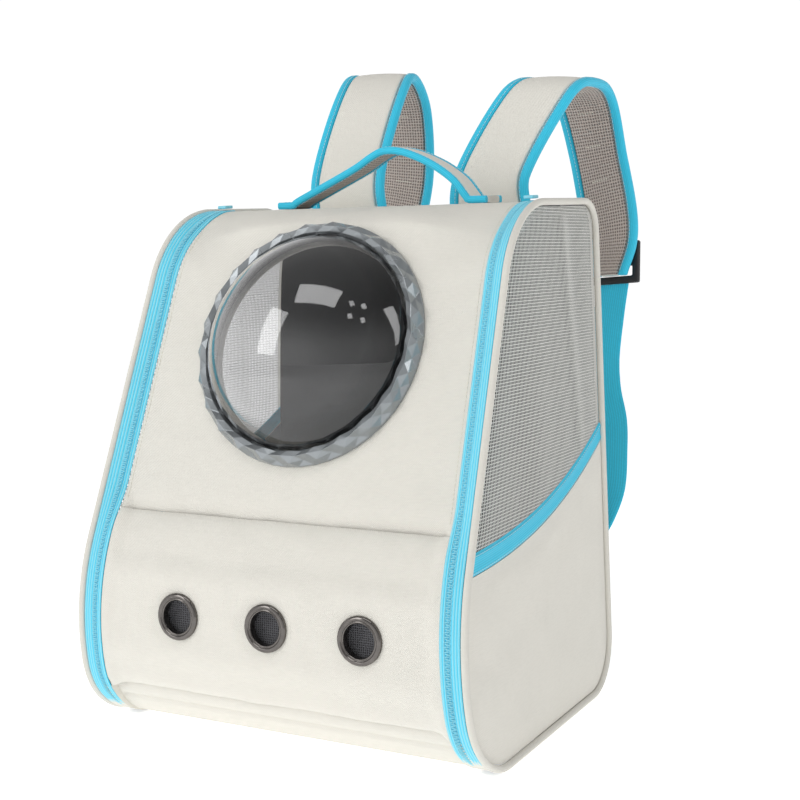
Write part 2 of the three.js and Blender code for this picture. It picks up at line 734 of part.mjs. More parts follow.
// The handle's middle line: places across as shares of half its span, heights as shares of its rise
const HANDLE_ROWS = [
  { across: -1.18, up: 0 },
  { across: -1.02, up: 0 },
  { across: -0.96, up: 0.07 },
  { across: -0.71, up: 0.29 },
  { across: -0.28, up: 0.67 },
  { across: -0.08, up: 0.89 },
  { across: 0.06, up: 1 },
  { across: 0.22, up: 0.99 },
  { across: 0.38, up: 0.9 },
  { across: 0.61, up: 0.69 },
  { across: 0.82, up: 0.4 },
  { across: 0.95, up: 0.09 },
  { across: 1, up: 0 },
  { across: 1.18, up: 0 },
];

function handle() {
  const place = distanceWhere(RIDGE_END, BACK_TOP_MIDDLE, HANDLE_Y, 'x');
  const lift = HANDLE_THICKNESS / 2 + BINDING_FOLD + GAP - EDGE_DEPTH;
  const flat = HANDLE_ROWS.map((row) => new THREE.Vector2(
    (row.across * HANDLE_SPAN) / 2, lift + row.up * HANDLE_RISE));
  const bar = (from, to, thickness) => barBody(flat.map((point, i) => {
    const ahead = flat[Math.min(i + 1, flat.length - 1)];
    const behind = flat[Math.max(i - 1, 0)];
    const along = ahead.clone().sub(behind).normalize();
    const over = new THREE.Vector2(-along.y, along.x).multiplyScalar(thickness / 2);
    return [[from, -1], [to, -1], [to, 1], [from, 1]].map(([shift, way]) => uprightPoint(
      point.x + way * over.x, place + shift, -(point.y + way * over.y)));
  }));
  const half = HANDLE_WIDTH / 2;
  const edge = half - HANDLE_BINDING_WIDTH;
  const folded = HANDLE_THICKNESS + 2 * BINDING_FOLD;
  add('handle', bar(-edge + GAP, edge - GAP, HANDLE_THICKNESS), CREAM);
  add('handle_binding_front', bar(-half, -edge, folded), BLUE);
  add('handle_binding_rear', bar(edge, half, folded), BLUE);
}

// Each strap's middle line, from its seam on the back up, over and down to the pad's end. They stand
// differently: the right one is lower and turned. back, up and out are shares of the reach, the rise
// and the spread; wide is a share of the strap's width; turn and lean are the slopes of its cross
// line towards the back and upwards.
const STRAPS = [
  {
    name: 'left',
    side: -1,
    rise: STRAP_RISE_LEFT,
    rows: [
      { back: 0, up: -0.18, out: 0.2, wide: 1, turn: 0, lean: 0 },
      { back: 0, up: 0, out: 0.2, wide: 1, turn: 0, lean: 0.02 },
      { back: 0.022, up: 0.304, out: 0.28, wide: 0.97, turn: -0.01, lean: 0.04 },
      { back: 0.28, up: 0.8, out: 0.26, wide: 0.93, turn: -0.05, lean: 0.05 },
      { back: 0.592, up: 1, out: 0.42, wide: 0.89, turn: -0.05, lean: 0.03 },
      { back: 0.875, up: 0.809, out: 0.51, wide: 0.85, turn: -0.03, lean: 0.02 },
      { back: 1, up: 0.348, out: 0.62, wide: 0.8, turn: -0.03, lean: 0.02 },
      { back: 0.965, up: -0.08, out: 0.83, wide: 0.76, turn: -0.02, lean: 0.01 },
      { back: 0.93, up: -0.33, out: 0.88, wide: 0.46, turn: -0.02, lean: 0.01 },
    ],
  },
  {
    name: 'right',
    side: 1,
    rise: STRAP_RISE_RIGHT,
    rows: [
      { back: 0.006, up: -0.2, out: -0.28, wide: 1, turn: 0, lean: 0 },
      { back: 0.006, up: 0, out: -0.28, wide: 1, turn: 0, lean: 0.02 },
      { back: 0.03, up: 0.333, out: -0.26, wide: 0.96, turn: -0.06, lean: 0.08 },
      { back: 0.286, up: 0.89, out: 0.28, wide: 0.92, turn: -0.06, lean: -0.06 },
      { back: 0.6, up: 0.997, out: 0.43, wide: 0.88, turn: -0.05, lean: -0.07 },
      { back: 0.875, up: 0.9, out: 0.49, wide: 0.83, turn: -0.09, lean: -0.08 },
      { back: 1, up: 0.467, out: 0.63, wide: 0.78, turn: -0.16, lean: -0.11 },
      { back: 0.99, up: -0.08, out: 0.88, wide: 0.74, turn: -0.16, lean: -0.11 },
      { back: 0.94, up: -0.42, out: 0.92, wide: 0.46, turn: -0.16, lean: -0.11 },
    ],
  },
];
const STRAP_STEPS = 26;
const WEBBING_STEPS = 22;

const backFace = BACK_Y - EDGE_DEPTH;
const strapSeat = backFace + GAP + STRAP_THICKNESS / 2 + BINDING_FOLD;

// Stations along a route: middle, cross line, direction and width at even steps
function strapStations({ side, rise, rows }) {
  const column = (name) => new THREE.CatmullRomCurve3(
    rows.map((row) => new THREE.Vector3(row[name], 0, 0)), false, 'catmullrom', 0.5);
  const middle = new THREE.CatmullRomCurve3(rows.map((row) => new THREE.Vector3(
    STRAP_X + row.out * STRAP_SPREAD,
    strapSeat + row.back * STRAP_REACH,
    STRAP_Z + row.up * rise,
  )), false, 'catmullrom', 0.5);
  const columns = Object.fromEntries(['wide', 'turn', 'lean'].map((name) => [name, column(name)]));
  return Array.from({ length: STRAP_STEPS + 1 }, (_, i) => {
    const t = middle.getUtoTmapping(i / STRAP_STEPS);
    const at = (name) => columns[name].getPoint(t).x;
    const cross = new THREE.Vector3(1, at('turn'), at('lean')).normalize();
    const ahead = middle.getTangent(t);
    cross.addScaledVector(ahead, -cross.dot(ahead)).normalize();
    const outer = new THREE.Vector3().crossVectors(ahead, cross).normalize();
    const mirror = (vector) => new THREE.Vector3(side * vector.x, vector.y, vector.z);
    return {
      middle: mirror(middle.getPoint(t)),
      cross: mirror(cross),
      over: mirror(outer),
      half: (at('wide') * STRAP_WIDTH) / 2,
    };
  });
}

// A flat bar along stations, between two distances across, each measured from an edge or the middle
function strapBar(stations, from, to, thickness) {
  return barBody(stations.map((station) => (
    [[from, -1], [to, -1], [to, 1], [from, 1]].map(([across, way]) => station.middle.clone()
      .addScaledVector(station.cross, across(station))
      .addScaledVector(station.over, (way * thickness) / 2)))));
}

function straps() {
  const folded = STRAP_THICKNESS + 2 * BINDING_FOLD;
  for (const strap of STRAPS) {
    const { name, side } = strap;
    const stations = strapStations(strap);
    const edge = (way) => (station) => way * station.half;
    const inside = (way) => (station) => way * (station.half - STRAP_BINDING_WIDTH);
    const pad = (way) => (station) => way * (station.half - STRAP_BINDING_WIDTH - STRAP_BINDING_GAP);
    add(`strap_pad_${name}`, strapBar(stations, pad(-1), pad(1), STRAP_THICKNESS), CREAM);
    add(`strap_binding_inner_${name}`, strapBar(stations, edge(-1), inside(-1), folded), BLUE);
    add(`strap_binding_outer_${name}`, strapBar(stations, inside(1), edge(1), folded), BLUE);
    webbing(name, side, stations.at(-1));
  }
}

// The webbing's middle line from the pad's end to its seam low on the back:
// down and in are shares of its drop and of its way from the pad's end to the seam
const WEBBING_ROWS = [
  { down: 0, across: 0, in: 0 },
  { down: 0.13, across: 0.02, in: 0.1 },
  { down: 0.3, across: 0.12, in: 0.24 },
  { down: 0.42, across: 0.4, in: 0.36 },
  { down: 0.54, across: 0.85, in: 0.475 },
  { down: 0.65, across: 1.13, in: 0.61 },
  { down: 0.77, across: 1.37, in: 0.77 },
  { down: 0.86, across: 1.3, in: 0.9 },
  { down: 0.93, across: 1.04, in: 0.975 },
  { down: 0.97, across: 1, in: 0.997 },
  { down: 1, across: 1, in: 0.997 },
];

function webbing(name, side, padEnd) {
  const lock = buckleAxes(padEnd);
  const start = lock.middle.clone().addScaledVector(lock.up, -BUCKLE_HEIGHT / 2 - GAP);
  const seat = backFace + GAP + WEBBING_THICKNESS / 2;
  const corner = leanIn(new THREE.Vector3(HALF_SKIN, 0, WEBBING_FOOT_Z + WEBBING_SEAT));
  const footX = corner.x - GAP - WEBBING_WIDTH / 2;
  const drop = start.z - WEBBING_FOOT_Z;
  const route = new THREE.CatmullRomCurve3(WEBBING_ROWS.map((row) => new THREE.Vector3(
    mix(start.x, side * footX, row.across),
    mix(start.y, seat, row.in),
    start.z - row.down * drop,
  )), false, 'catmullrom', 0.5);
  const sections = Array.from({ length: WEBBING_STEPS + 1 }, (_, i) => {
    const share = i / WEBBING_STEPS;
    const middle = route.getPointAt(share);
    const cross = lock.right.clone().lerp(new THREE.Vector3(1, 0, 0), share);
    const ahead = route.getTangentAt(share);
    if (i === 0) ahead.copy(lock.up).negate();
    if (i === WEBBING_STEPS) ahead.set(0, 0, -1);
    cross.addScaledVector(ahead, -cross.dot(ahead)).normalize();
    const over = new THREE.Vector3().crossVectors(ahead, cross);
    return [[-1, -1], [1, -1], [1, 1], [-1, 1]].map(([across, way]) => middle.clone()
      .addScaledVector(cross, (across * WEBBING_WIDTH) / 2)
      .addScaledVector(over, (way * WEBBING_THICKNESS) / 2));
  });
  add(`webbing_${name}`, barBody(sections), BLUE);
  buckle(name, lock);
}

// Axes of the ladder lock, which lies on the outer face of the pad and reaches past the pad's end
function buckleAxes(padEnd) {
  const right = padEnd.cross.clone().multiplyScalar(Math.sign(padEnd.cross.x));
  const out = padEnd.over.clone().multiplyScalar(Math.sign(padEnd.over.y));
  const up = new THREE.Vector3().crossVectors(right, out).normalize();
  const lift = (STRAP_THICKNESS + BUCKLE_THICKNESS) / 2 + BINDING_FOLD + BUCKLE_GAP;
  const middle = padEnd.middle.clone().addScaledVector(out, lift)
    .addScaledVector(up, BUCKLE_HEIGHT / 2 - BUCKLE_BAR);
  return { right, out, up, middle };
}

// Ladder lock: a frame with two slots
function buckle(name, { right, out, up, middle }) {
  const slot = (BUCKLE_HEIGHT - 3 * BUCKLE_BAR) / 2;
  const block = new THREE.BoxGeometry(BUCKLE_WIDTH, BUCKLE_THICKNESS, BUCKLE_HEIGHT);
  const slots = [-1, 1].map((way) => new THREE.BoxGeometry(
    BUCKLE_WIDTH - 2 * BUCKLE_BAR, 2 * BUCKLE_THICKNESS, slot,
  ).translate(0, 0, way * ((BUCKLE_BAR + slot) / 2)));
  const frame = new THREE.Matrix4().makeBasis(right, out, up).setPosition(middle);
  add(`buckle_${name}`, cut(block, slots), BLACK, frame);
}

frontPanels();
otherPanels();
sides();
zips();
bubble();
eyelets();
handle();
straps();

export default group;
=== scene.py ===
import math

import bmesh
import bpy
from mathutils import Matrix, Vector, noise


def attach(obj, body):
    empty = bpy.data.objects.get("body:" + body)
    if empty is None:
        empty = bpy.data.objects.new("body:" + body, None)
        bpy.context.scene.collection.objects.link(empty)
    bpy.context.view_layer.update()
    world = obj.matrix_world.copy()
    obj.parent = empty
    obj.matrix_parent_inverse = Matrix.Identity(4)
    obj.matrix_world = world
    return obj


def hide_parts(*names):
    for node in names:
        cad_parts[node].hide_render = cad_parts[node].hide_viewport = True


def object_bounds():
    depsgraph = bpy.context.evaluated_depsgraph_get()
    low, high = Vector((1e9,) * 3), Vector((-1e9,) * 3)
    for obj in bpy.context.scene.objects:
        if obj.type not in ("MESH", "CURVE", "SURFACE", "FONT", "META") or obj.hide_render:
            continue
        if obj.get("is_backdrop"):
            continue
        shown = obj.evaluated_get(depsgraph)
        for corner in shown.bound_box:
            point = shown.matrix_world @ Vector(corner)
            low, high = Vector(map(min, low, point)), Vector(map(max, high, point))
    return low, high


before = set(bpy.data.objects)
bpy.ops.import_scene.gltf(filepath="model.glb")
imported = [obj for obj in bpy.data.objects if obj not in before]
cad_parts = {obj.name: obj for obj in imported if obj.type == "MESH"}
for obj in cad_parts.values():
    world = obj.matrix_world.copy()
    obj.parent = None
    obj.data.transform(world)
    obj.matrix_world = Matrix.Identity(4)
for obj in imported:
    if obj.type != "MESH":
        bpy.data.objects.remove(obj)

CAD_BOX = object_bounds()

bl_info = {
    "name": "Bubble Pet Carrier Backpack",
    "version": (1, 0, 0),
    "blender": (4, 5, 0),
    "location": "View3D > Sidebar > Carrier",
    "description": "Sews a pet carrier backpack with a clear bubble window, net sides and padded straps",
    "category": "Object",
}

# Sizes are in millimetres and become metres when a mesh is laid out
MM = 0.001

# Outline of the body seen from the side: place (y, z) and the radius that rounds each corner
CORNERS = (
    (158, 0, 46),
    (-118, 0, 68),
    (-139, 108, 175),
    (-17, 411, 90),
    (158, 416, 26),
)
BACK_FOOT, FRONT_FOOT, KNEE, RIDGE, BACK_TOP = range(5)
BACK_Y = CORNERS[BACK_FOOT][0]
KNEE_Y = CORNERS[KNEE][0]
RIDGE_Z = CORNERS[RIDGE][1]

BODY_WIDTH = 345
SIDE_LEAN = 14
GAP = 0.3
PIPING_RADIUS = 2.8
ZIP_BAND = 16
ZIP_OUTER_TAPE = 7.4
ZIP_COIL_WIDTH = 4.4
ZIP_COIL_HEIGHT = 1.6
ZIP_BELOW_SEAM = 52

PANEL_WALL = 2.5
BACK_WALL = 5
SIDE_WALL = 2
EDGE_DEPTH = 2.5
LOWER_DEPTH = 6
LOWER_EDGE_ROLL = 14
UPPER_DEPTH = 9
CREASE_DEPTH = 11
CREASE_DIP = 1.6
CREASE_DIP_REACH = 10
SHOULDER = 22
SEAM_ROLL = 12
SEAM_DEPTH = 8
SEAM_Z = 33
CREASE_Z = 179
TOP_SEAM_BEHIND_RIDGE = 12

RING_Z = 308
RING_OUTER_RADIUS = 98
RING_HEIGHT = 12.5
RING_FACETS = 50
DOME_RADIUS = 86
DOME_RISE = 50
DOME_RIM = 10
DOME_WALL = 2
WINDOW_HOLE_RADIUS = 81
CATCH_X = 7
CATCH_ACROSS = -82
CATCH_SLOT = (17, 9, 5)
CATCH_SLOT_UP = 3.5

EYELET_Z = 101
EYELET_SPACING = 81
EYELET_SHIFT = 4
EYELET_OUTER_RADIUS = 18
EYELET_BORE_RADIUS = 12.4
EYELET_ROLL = 3.2
EYELET_SEAT = 24

BINDING_FRONT_Z = 158
BINDING_RISE = 65
BINDING_CURVE_POWER = 2.4
BINDING_WIDTH = 15.5
BINDING_STEPS = 120
BINDING_LANES = 10
EDGE_STEP = 0.25

HANDLE_Y = 78
HANDLE_WIDTH = 33
HANDLE_SPAN = 166
HANDLE_RISE = 42
HANDLE_THICKNESS = 5
HANDLE_BINDING = 5
BINDING_FOLD = 0.5

STRAP_X = 72
STRAP_Z = 400
STRAP_REACH = 149
STRAP_SPREAD = 50
STRAP_WIDTH = 78
STRAP_THICKNESS = 7
STRAP_BINDING = 9

WEBBING_FOOT_Z = 112
WEBBING_SEAT = 45
WEBBING_WIDTH = 32
WEBBING_THICKNESS = 2
BUCKLE_HEIGHT = 40
BUCKLE_THICKNESS = 5
BUCKLE_BAR = 7

HALF_WIDTH = BODY_WIDTH / 2
PIPING_X = HALF_WIDTH - PIPING_RADIUS
HALF_SKIN = PIPING_X - PIPING_RADIUS - GAP
HALF_FRONT = HALF_SKIN - ZIP_BAND
COIL_OUTER_X = HALF_SKIN - ZIP_OUTER_TAPE
COIL_INNER_X = COIL_OUTER_X - ZIP_COIL_WIDTH
SIDE_INSET = 2 * PIPING_RADIUS + GAP
BODY_MIDDLE = Vector((0, 10, 200))

SIDES = (("left", -1), ("right", 1))


def clamp(value, low, high):
    return min(high, max(low, value))


def mix(a, b, share):
    return a + (b - a) * share


def smooth(start, end, value):
    share = clamp((value - start) / (end - start), 0, 1)
    return share * share * (3 - 2 * share)


def ripple(point, size, seed=0.0):
    """Soft unevenness between about -1 and 1."""
    return noise.noise(Vector(point) / size + Vector((seed, seed, seed)))


class Outline:
    """Closed outline of straight sides joined by arcs, measured from the middle of the first corner."""

    def __init__(self, corners):
        count = len(corners)
        places = [Vector(corner[:2]) for corner in corners]
        arcs = []
        for i, corner in enumerate(corners):
            back = (places[i - 1] - places[i]).normalized()
            ahead = (places[(i + 1) % count] - places[i]).normalized()
            turn = math.pi - math.acos(clamp(back.dot(ahead), -1, 1))
            arcs.append([back, ahead, turn, corner[2] * math.tan(turn / 2)])
        for i in range(count):
            after = (i + 1) % count
            room = 0.98 * (places[i] - places[after]).length
            fit = room / (arcs[i][3] + arcs[after][3])
            if fit < 1:
                arcs[i][3] *= fit
                arcs[after][3] *= fit
        self.parts = []
        self.length = 0.0
        self.arc_parts = {}
        self._arc(places, arcs, 0, 0.5, 1)
        for i in range(count):
            after = (i + 1) % count
            start = places[i] + arcs[i][1] * arcs[i][3]
            end = places[after] + arcs[after][0] * arcs[after][3]
            along = arcs[i][1]
            normal = Vector((-along.y, along.x))
            self._add((end - start).length, lambda share, a=start, b=end, n=normal: (a.lerp(b, share), n))
            if after:
                self._arc(places, arcs, after, 0, 1)
        self._arc(places, arcs, 0, 0, 0.5)

    def _add(self, length, place):
        self.parts.append((self.length, length, place))
        self.length += length

    def _arc(self, places, arcs, i, start, end):
        back, ahead, turn, tangent = arcs[i]
        radius = tangent / math.tan(turn / 2)
        centre = places[i] + (back + ahead).normalized() * (radius / math.cos(turn / 2))
        first = places[i] + back * tangent - centre
        angle = math.atan2(first.y, first.x)

        def place(share):
            at = angle - turn * mix(start, end, share)
            normal = Vector((math.cos(at), math.sin(at)))
            return centre + normal * radius, normal

        length = radius * turn * (end - start)
        self.arc_parts.setdefault(i, (self.length, length))
        self._add(length, place)

    def at(self, distance):
        wrapped = distance % self.length
        for start, length, place in self.parts:
            if wrapped <= start + length:
                return place((wrapped - start) / length if length else 0)
        return self.parts[-1][2](1)

    def arc_end(self, corner, share):
        start, length = self.arc_parts[corner]
        return start + length * share

    def where(self, start, end, level, axis):
        for _ in range(40):
            middle = (start + end) / 2
            if self.at(middle)[0][axis] < level:
                start = middle
            else:
                end = middle
        return start


OUTLINE = Outline(CORNERS)
BACK_FOOT_END = OUTLINE.arc_end(BACK_FOOT, 1)
FRONT_START = OUTLINE.arc_end(FRONT_FOOT, 0)
RIDGE_START = OUTLINE.arc_end(RIDGE, 0)
RIDGE_END = OUTLINE.arc_end(RIDGE, 1)
BACK_TOP_MIDDLE = OUTLINE.arc_end(BACK_TOP, 0.5)


def up_front(height):
    return OUTLINE.where(FRONT_START, RIDGE_END, height, 1)


SEAM = up_front(SEAM_Z)
CREASE = up_front(CREASE_Z)
RING_PLACE = up_front(RING_Z)
EYELET_PLACE = up_front(EYELET_Z)
TOP_SEAM = RIDGE_END + TOP_SEAM_BEHIND_RIDGE
ZIP_START = SEAM - ZIP_BELOW_SEAM
ZIP_FOOT, ZIP_FOOT_WAY = OUTLINE.at(ZIP_START - GAP)
RING_TOP = RING_PLACE + RING_OUTER_RADIUS + GAP


def upright(x, distance, depth):
    place, normal = OUTLINE.at(distance)
    return Vector((x, place.x - normal.x * depth, place.y - normal.y * depth))


def lean_in(point):
    inward = SIDE_LEAN / RIDGE_Z * point.z
    share = min(abs(point.x) / HALF_FRONT, 1)
    point.x -= math.copysign(inward * share, point.x) if point.x else 0
    return point


def skin(x, distance, depth):
    return lean_in(upright(x, distance, depth))


def flat_depth(distance, centre, depth):
    here, normal = OUTLINE.at(distance)
    seat, out = OUTLINE.at(centre)
    return ((here - seat).dot(out) + depth) / normal.dot(out)


def front_edge_depth(distance):
    rising = smooth(CREASE - SHOULDER, CREASE + SHOULDER, distance)
    top = smooth(mix(RIDGE_START, RIDGE_END, 0.5), TOP_SEAM, distance)
    return mix(mix(EDGE_DEPTH, UPPER_DEPTH, rising), EDGE_DEPTH, top)


def zip_depth(distance, x):
    share = clamp((HALF_SKIN - abs(x)) / (HALF_SKIN - HALF_FRONT), 0, 1)
    return mix(EDGE_DEPTH, front_edge_depth(distance), share)


def at_zip(depth, edge, x):
    """The skin rises to the zip over its last few millimetres."""
    return mix(depth, min(depth, edge + 0.6), smooth(HALF_FRONT - 9, HALF_FRONT, abs(x)))


def upper_depth(distance, x):
    edge = front_edge_depth(distance)
    across = 1 - smooth(0.64 * RING_OUTER_RADIUS, HALF_FRONT, abs(x))
    along = 1 - smooth(RING_TOP, TOP_SEAM, distance)
    flat = flat_depth(min(distance, RING_TOP), RING_PLACE, UPPER_DEPTH)
    seat = mix(edge, flat, across * along) if distance > RING_PLACE else UPPER_DEPTH
    dip = max(1 - (distance - CREASE) / SHOULDER, 0)
    return at_zip(mix(seat, CREASE_DEPTH + 1.5, dip ** 2.2), edge, x)


def lower_depth(distance, x):
    away = abs(distance - EYELET_PLACE)
    hold = 1 - smooth(EYELET_SEAT, 2 * EYELET_SEAT, away)
    flat = flat_depth(distance, EYELET_PLACE, LOWER_DEPTH)
    shoulder = clamp((distance - (CREASE - SHOULDER)) / SHOULDER, 0, 1)
    roll = clamp((SEAM + SEAM_ROLL - distance) / SEAM_ROLL, 0, 1)
    drop = (CREASE_DEPTH + 1.5 - LOWER_DEPTH) * (1 - math.sqrt(1 - shoulder * shoulder))
    tuck = (SEAM_DEPTH + 1.5 - LOWER_DEPTH) * (1 - math.sqrt(1 - roll * roll))
    inside = smooth(HALF_FRONT, HALF_FRONT - LOWER_EDGE_ROLL, abs(x))
    depth = mix(EDGE_DEPTH, mix(LOWER_DEPTH, flat, hold), inside) + drop + tuck
    return at_zip(depth, front_edge_depth(distance), x)


def base_depth(distance, x):
    back_roll = 1 - smooth(0, BACK_FOOT_END, distance)
    front = smooth(FRONT_START, SEAM, distance)
    at_front = SEAM_DEPTH if abs(x) <= HALF_FRONT else EDGE_DEPTH
    return EDGE_DEPTH * back_roll + at_front * front


def seat_frame(x, distance, depth):
    """Local X runs across, local Y stands out of the panel and local Z runs down it."""
    _, normal = OUTLINE.at(distance)
    out = Vector((0, normal.x, normal.y))
    right = Vector((1, 0, 0))
    down = right.cross(out)
    place = skin(x, distance, depth)
    made = Matrix((right, out, down)).transposed().to_4x4()
    made.translation = place
    return made


RING_FRAME = seat_frame(0, RING_PLACE, UPPER_DEPTH)
EYELET_FRAMES = [
    seat_frame(EYELET_SHIFT + k * EYELET_SPACING, EYELET_PLACE, LOWER_DEPTH) for k in (-1, 0, 1)
]


class Route:
    """Smooth line through points, walked by the share of its length."""

    def __init__(self, points):
        self.points = [Vector(point) for point in points]
        count = 500
        self.marks = [self.at(i / count) for i in range(count + 1)]
        self.lengths = [0.0]
        for a, b in zip(self.marks, self.marks[1:]):
            self.lengths.append(self.lengths[-1] + (b - a).length)
        self.length = self.lengths[-1]

    def at(self, t):
        pts = self.points
        p = clamp(t, 0, 1) * (len(pts) - 1)
        i = min(int(p), len(pts) - 2)
        w = p - i
        before = pts[i - 1] if i else 2 * pts[0] - pts[1]
        after = pts[i + 2] if i + 2 < len(pts) else 2 * pts[-1] - pts[-2]
        a, b = pts[i], pts[i + 1]
        start, end = 0.5 * (b - before), 0.5 * (after - a)
        return (
            (2 * a - 2 * b + start + end) * w ** 3
            + (-3 * a + 3 * b - 2 * start - end) * w ** 2
            + start * w
            + a
        )

    def t_of(self, share):
        wanted = share * self.length
        low, high = 0, len(self.lengths) - 1
        while high - low > 1:
            middle = (low + high) // 2
            if self.lengths[middle] < wanted:
                low = middle
            else:
                high = middle
        span = self.lengths[high] - self.lengths[low]
        return (low + (wanted - self.lengths[low]) / span) / (len(self.lengths) - 1)

    def ahead(self, t):
        return (self.at(t + 1e-4) - self.at(t - 1e-4)).normalized()


# ---------------------------------------------------------------- modelling helpers


def clear_selection():
    if bpy.context.object and bpy.context.object.mode != "OBJECT":
        bpy.ops.object.mode_set(mode="OBJECT")
    bpy.ops.object.select_all(action="DESELECT")


def pick(piece):
    clear_selection()
    piece.select_set(True)
    bpy.context.view_layer.objects.active = piece


def apply_modifier(piece, kind, **values):
    pick(piece)
    modifier = piece.modifiers.new(kind.title(), kind)
    for key, value in values.items():
        setattr(modifier, key, value)
    bpy.ops.object.modifier_apply(modifier=modifier.name)


def lay_out(name, rows, columns, place, measure, paint=None, merge=False, fill=False):
    """A grid laid over a surface. u runs along its columns and v along its rows, both from 0 to 1."""
    clear_selection()
    bpy.ops.mesh.primitive_grid_add(x_subdivisions=columns, y_subdivisions=rows, size=1, location=(0, 0, 0))
    piece = bpy.context.object
    piece.name = piece.data.name = name
    mesh = piece.data
    flat = [(v.co.x + 0.5, v.co.y + 0.5) for v in mesh.vertices]
    layer = mesh.uv_layers.active or mesh.uv_layers.new(name="Cloth")
    layer.name = "Cloth"
    for loop in mesh.loops:
        layer.data[loop.index].uv = measure(*flat[loop.vertex_index])
    if paint:
        for face in mesh.polygons:
            corners = [flat[i] for i in face.vertices]
            share = [sum(c[k] for c in corners) / len(corners) for k in (0, 1)]
            face.material_index = paint(*share)
    for vertex, (u, v) in zip(mesh.vertices, flat):
        vertex.co = place(u, v) * MM
    if merge or fill:
        pick(piece)
        bpy.ops.object.mode_set(mode="EDIT")
        bpy.ops.mesh.select_all(action="SELECT")
        bpy.ops.mesh.remove_doubles(threshold=1e-6)
        if fill:
            bpy.ops.mesh.fill_holes(sides=0)
        bpy.ops.mesh.select_all(action="SELECT")
        bpy.ops.mesh.normals_make_consistent(inside=False)
        bpy.ops.object.mode_set(mode="OBJECT")
    return piece


def face_out(piece, outward=None):
    """Turns an open sheet so that it faces away from the middle of the body, or along a direction."""
    total = 0.0
    for face in piece.data.polygons:
        away = outward or (face.center / MM - BODY_MIDDLE)
        total += face.normal.dot(away) * face.area
    if total < 0:
        piece.data.flip_normals()


def thicken(piece, wall, lining=True):
    while lining and len(piece.data.materials) < 2:
        piece.data.materials.append(None)
    apply_modifier(
        piece, "SOLIDIFY", thickness=wall * MM, offset=-1,
        material_offset=1 if lining else 0, material_offset_rim=0,
    )


def soften(piece, angle=40):
    pick(piece)
    bpy.ops.object.shade_smooth_by_angle(angle=math.radians(angle))


def open_round(piece, frame_, radius):
    """Opens a round hole: faces inside it go, and the edge left is drawn onto the circle."""
    into = frame_.inverted()
    pick(piece)
    bpy.ops.object.mode_set(mode="EDIT")
    mesh = bmesh.from_edit_mesh(piece.data)
    near = lambda point: into @ (point / MM)
    gone = [
        face for face in mesh.faces
        if math.hypot(near(face.calc_center_median()).x, near(face.calc_center_median()).z) < radius
    ]
    touched = {vertex for face in gone for vertex in face.verts}
    bmesh.ops.delete(mesh, geom=gone, context="FACES")
    for vertex in touched:
        if not vertex.is_valid:
            continue
        local = near(vertex.co)
        away = math.hypot(local.x, local.z)
        local.x *= radius / away
        local.z *= radius / away
        vertex.co = (frame_ @ local) * MM
    bmesh.update_edit_mesh(piece.data)
    bpy.ops.object.mode_set(mode="OBJECT")


def copy_of_node(node, name, round_, segments=3):
    """A merged copy of a hard CAD piece with its edges rounded."""
    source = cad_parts[node]
    piece = source.copy()
    piece.data = source.data.copy()
    for key in list(piece.keys()):
        del piece[key]
    piece.name = piece.data.name = name
    for collection in source.users_collection:
        collection.objects.link(piece)
    piece.parent = None
    piece.matrix_world = source.matrix_world
    pick(piece)
    bpy.ops.object.mode_set(mode="EDIT")
    bpy.ops.mesh.select_all(action="SELECT")
    bpy.ops.mesh.remove_doubles(threshold=1e-6)
    bpy.ops.mesh.tris_convert_to_quads(face_threshold=0.01, shape_threshold=3.1)
    bpy.ops.object.mode_set(mode="OBJECT")
    apply_modifier(
        piece, "BEVEL", width=round_ * MM, segments=segments, limit_method="ANGLE",
        angle_limit=math.radians(30), harden_normals=False,
    )
    soften(piece, 35)
    return piece


def spun(name, profile, place, segments):
    """A closed half section (across, up) turned round the local Y axis of its frame."""
    mesh = bpy.data.meshes.new(name)
    points = [Vector((across, up, 0)) * MM for across, up in profile]
    edges = [(i, (i + 1) % len(points)) for i in range(len(points))]
    if profile[0][0] == 0 and profile[-1][0] == 0:
        edges.pop()
    mesh.from_pydata(points, edges, [])
    piece = bpy.data.objects.new(name, mesh)
    bpy.context.scene.collection.objects.link(piece)
    pick(piece)
    bpy.ops.object.mode_set(mode="EDIT")
    bpy.ops.mesh.select_all(action="SELECT")
    bpy.ops.mesh.spin(
        steps=segments, dupli=False, angle=2 * math.pi, use_auto_merge=True,
        center=(0, 0, 0), axis=(0, 1, 0),
    )
    bpy.ops.mesh.select_all(action="SELECT")
    bpy.ops.mesh.remove_doubles(threshold=1e-6)
    bpy.ops.mesh.normals_make_consistent(inside=False)
    bpy.ops.object.mode_set(mode="OBJECT")
    to = place.copy()
    to.translation = to.translation * MM
    piece.data.transform(to)
    soften(piece, 50)
    return piece


def dress(piece, looks, nodes=()):
    for i, each in enumerate(looks):
        if i < len(piece.data.materials):
            piece.data.materials[i] = each
        else:
            piece.data.materials.append(each)
    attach(piece, "root")
    if nodes:
        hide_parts(*nodes)
    return piece


# Half section of a flat band, from the middle of its under side round to the same place:
# across and roll are shares of its flat and of its edge, over is a share of half its thickness
# and crown a share of how much its faces swell
def band_section(across_steps=8, edge_steps=5):
    rows = []
    for i in range(across_steps // 2 + 1):
        share = 2 * i / across_steps
        rows.append((share, 0, -1, 1 - share ** 2))
    for i in range(1, edge_steps):
        turn = math.pi * (i / edge_steps - 0.5)
        rows.append((1, math.cos(turn), math.sin(turn), 0))
    for i in range(across_steps + 1):
        share = 1 - 2 * i / across_steps
        rows.append((share, 0, 1, 1 - share ** 2))
    for i in range(1, edge_steps):
        turn = math.pi * (0.5 + i / edge_steps)
        rows.append((-1, math.cos(turn), math.sin(turn), 0))
    for i in range(across_steps // 2 + 1):
        share = -1 + 2 * i / across_steps
        rows.append((share, 0, -1, 1 - share ** 2))
    return rows


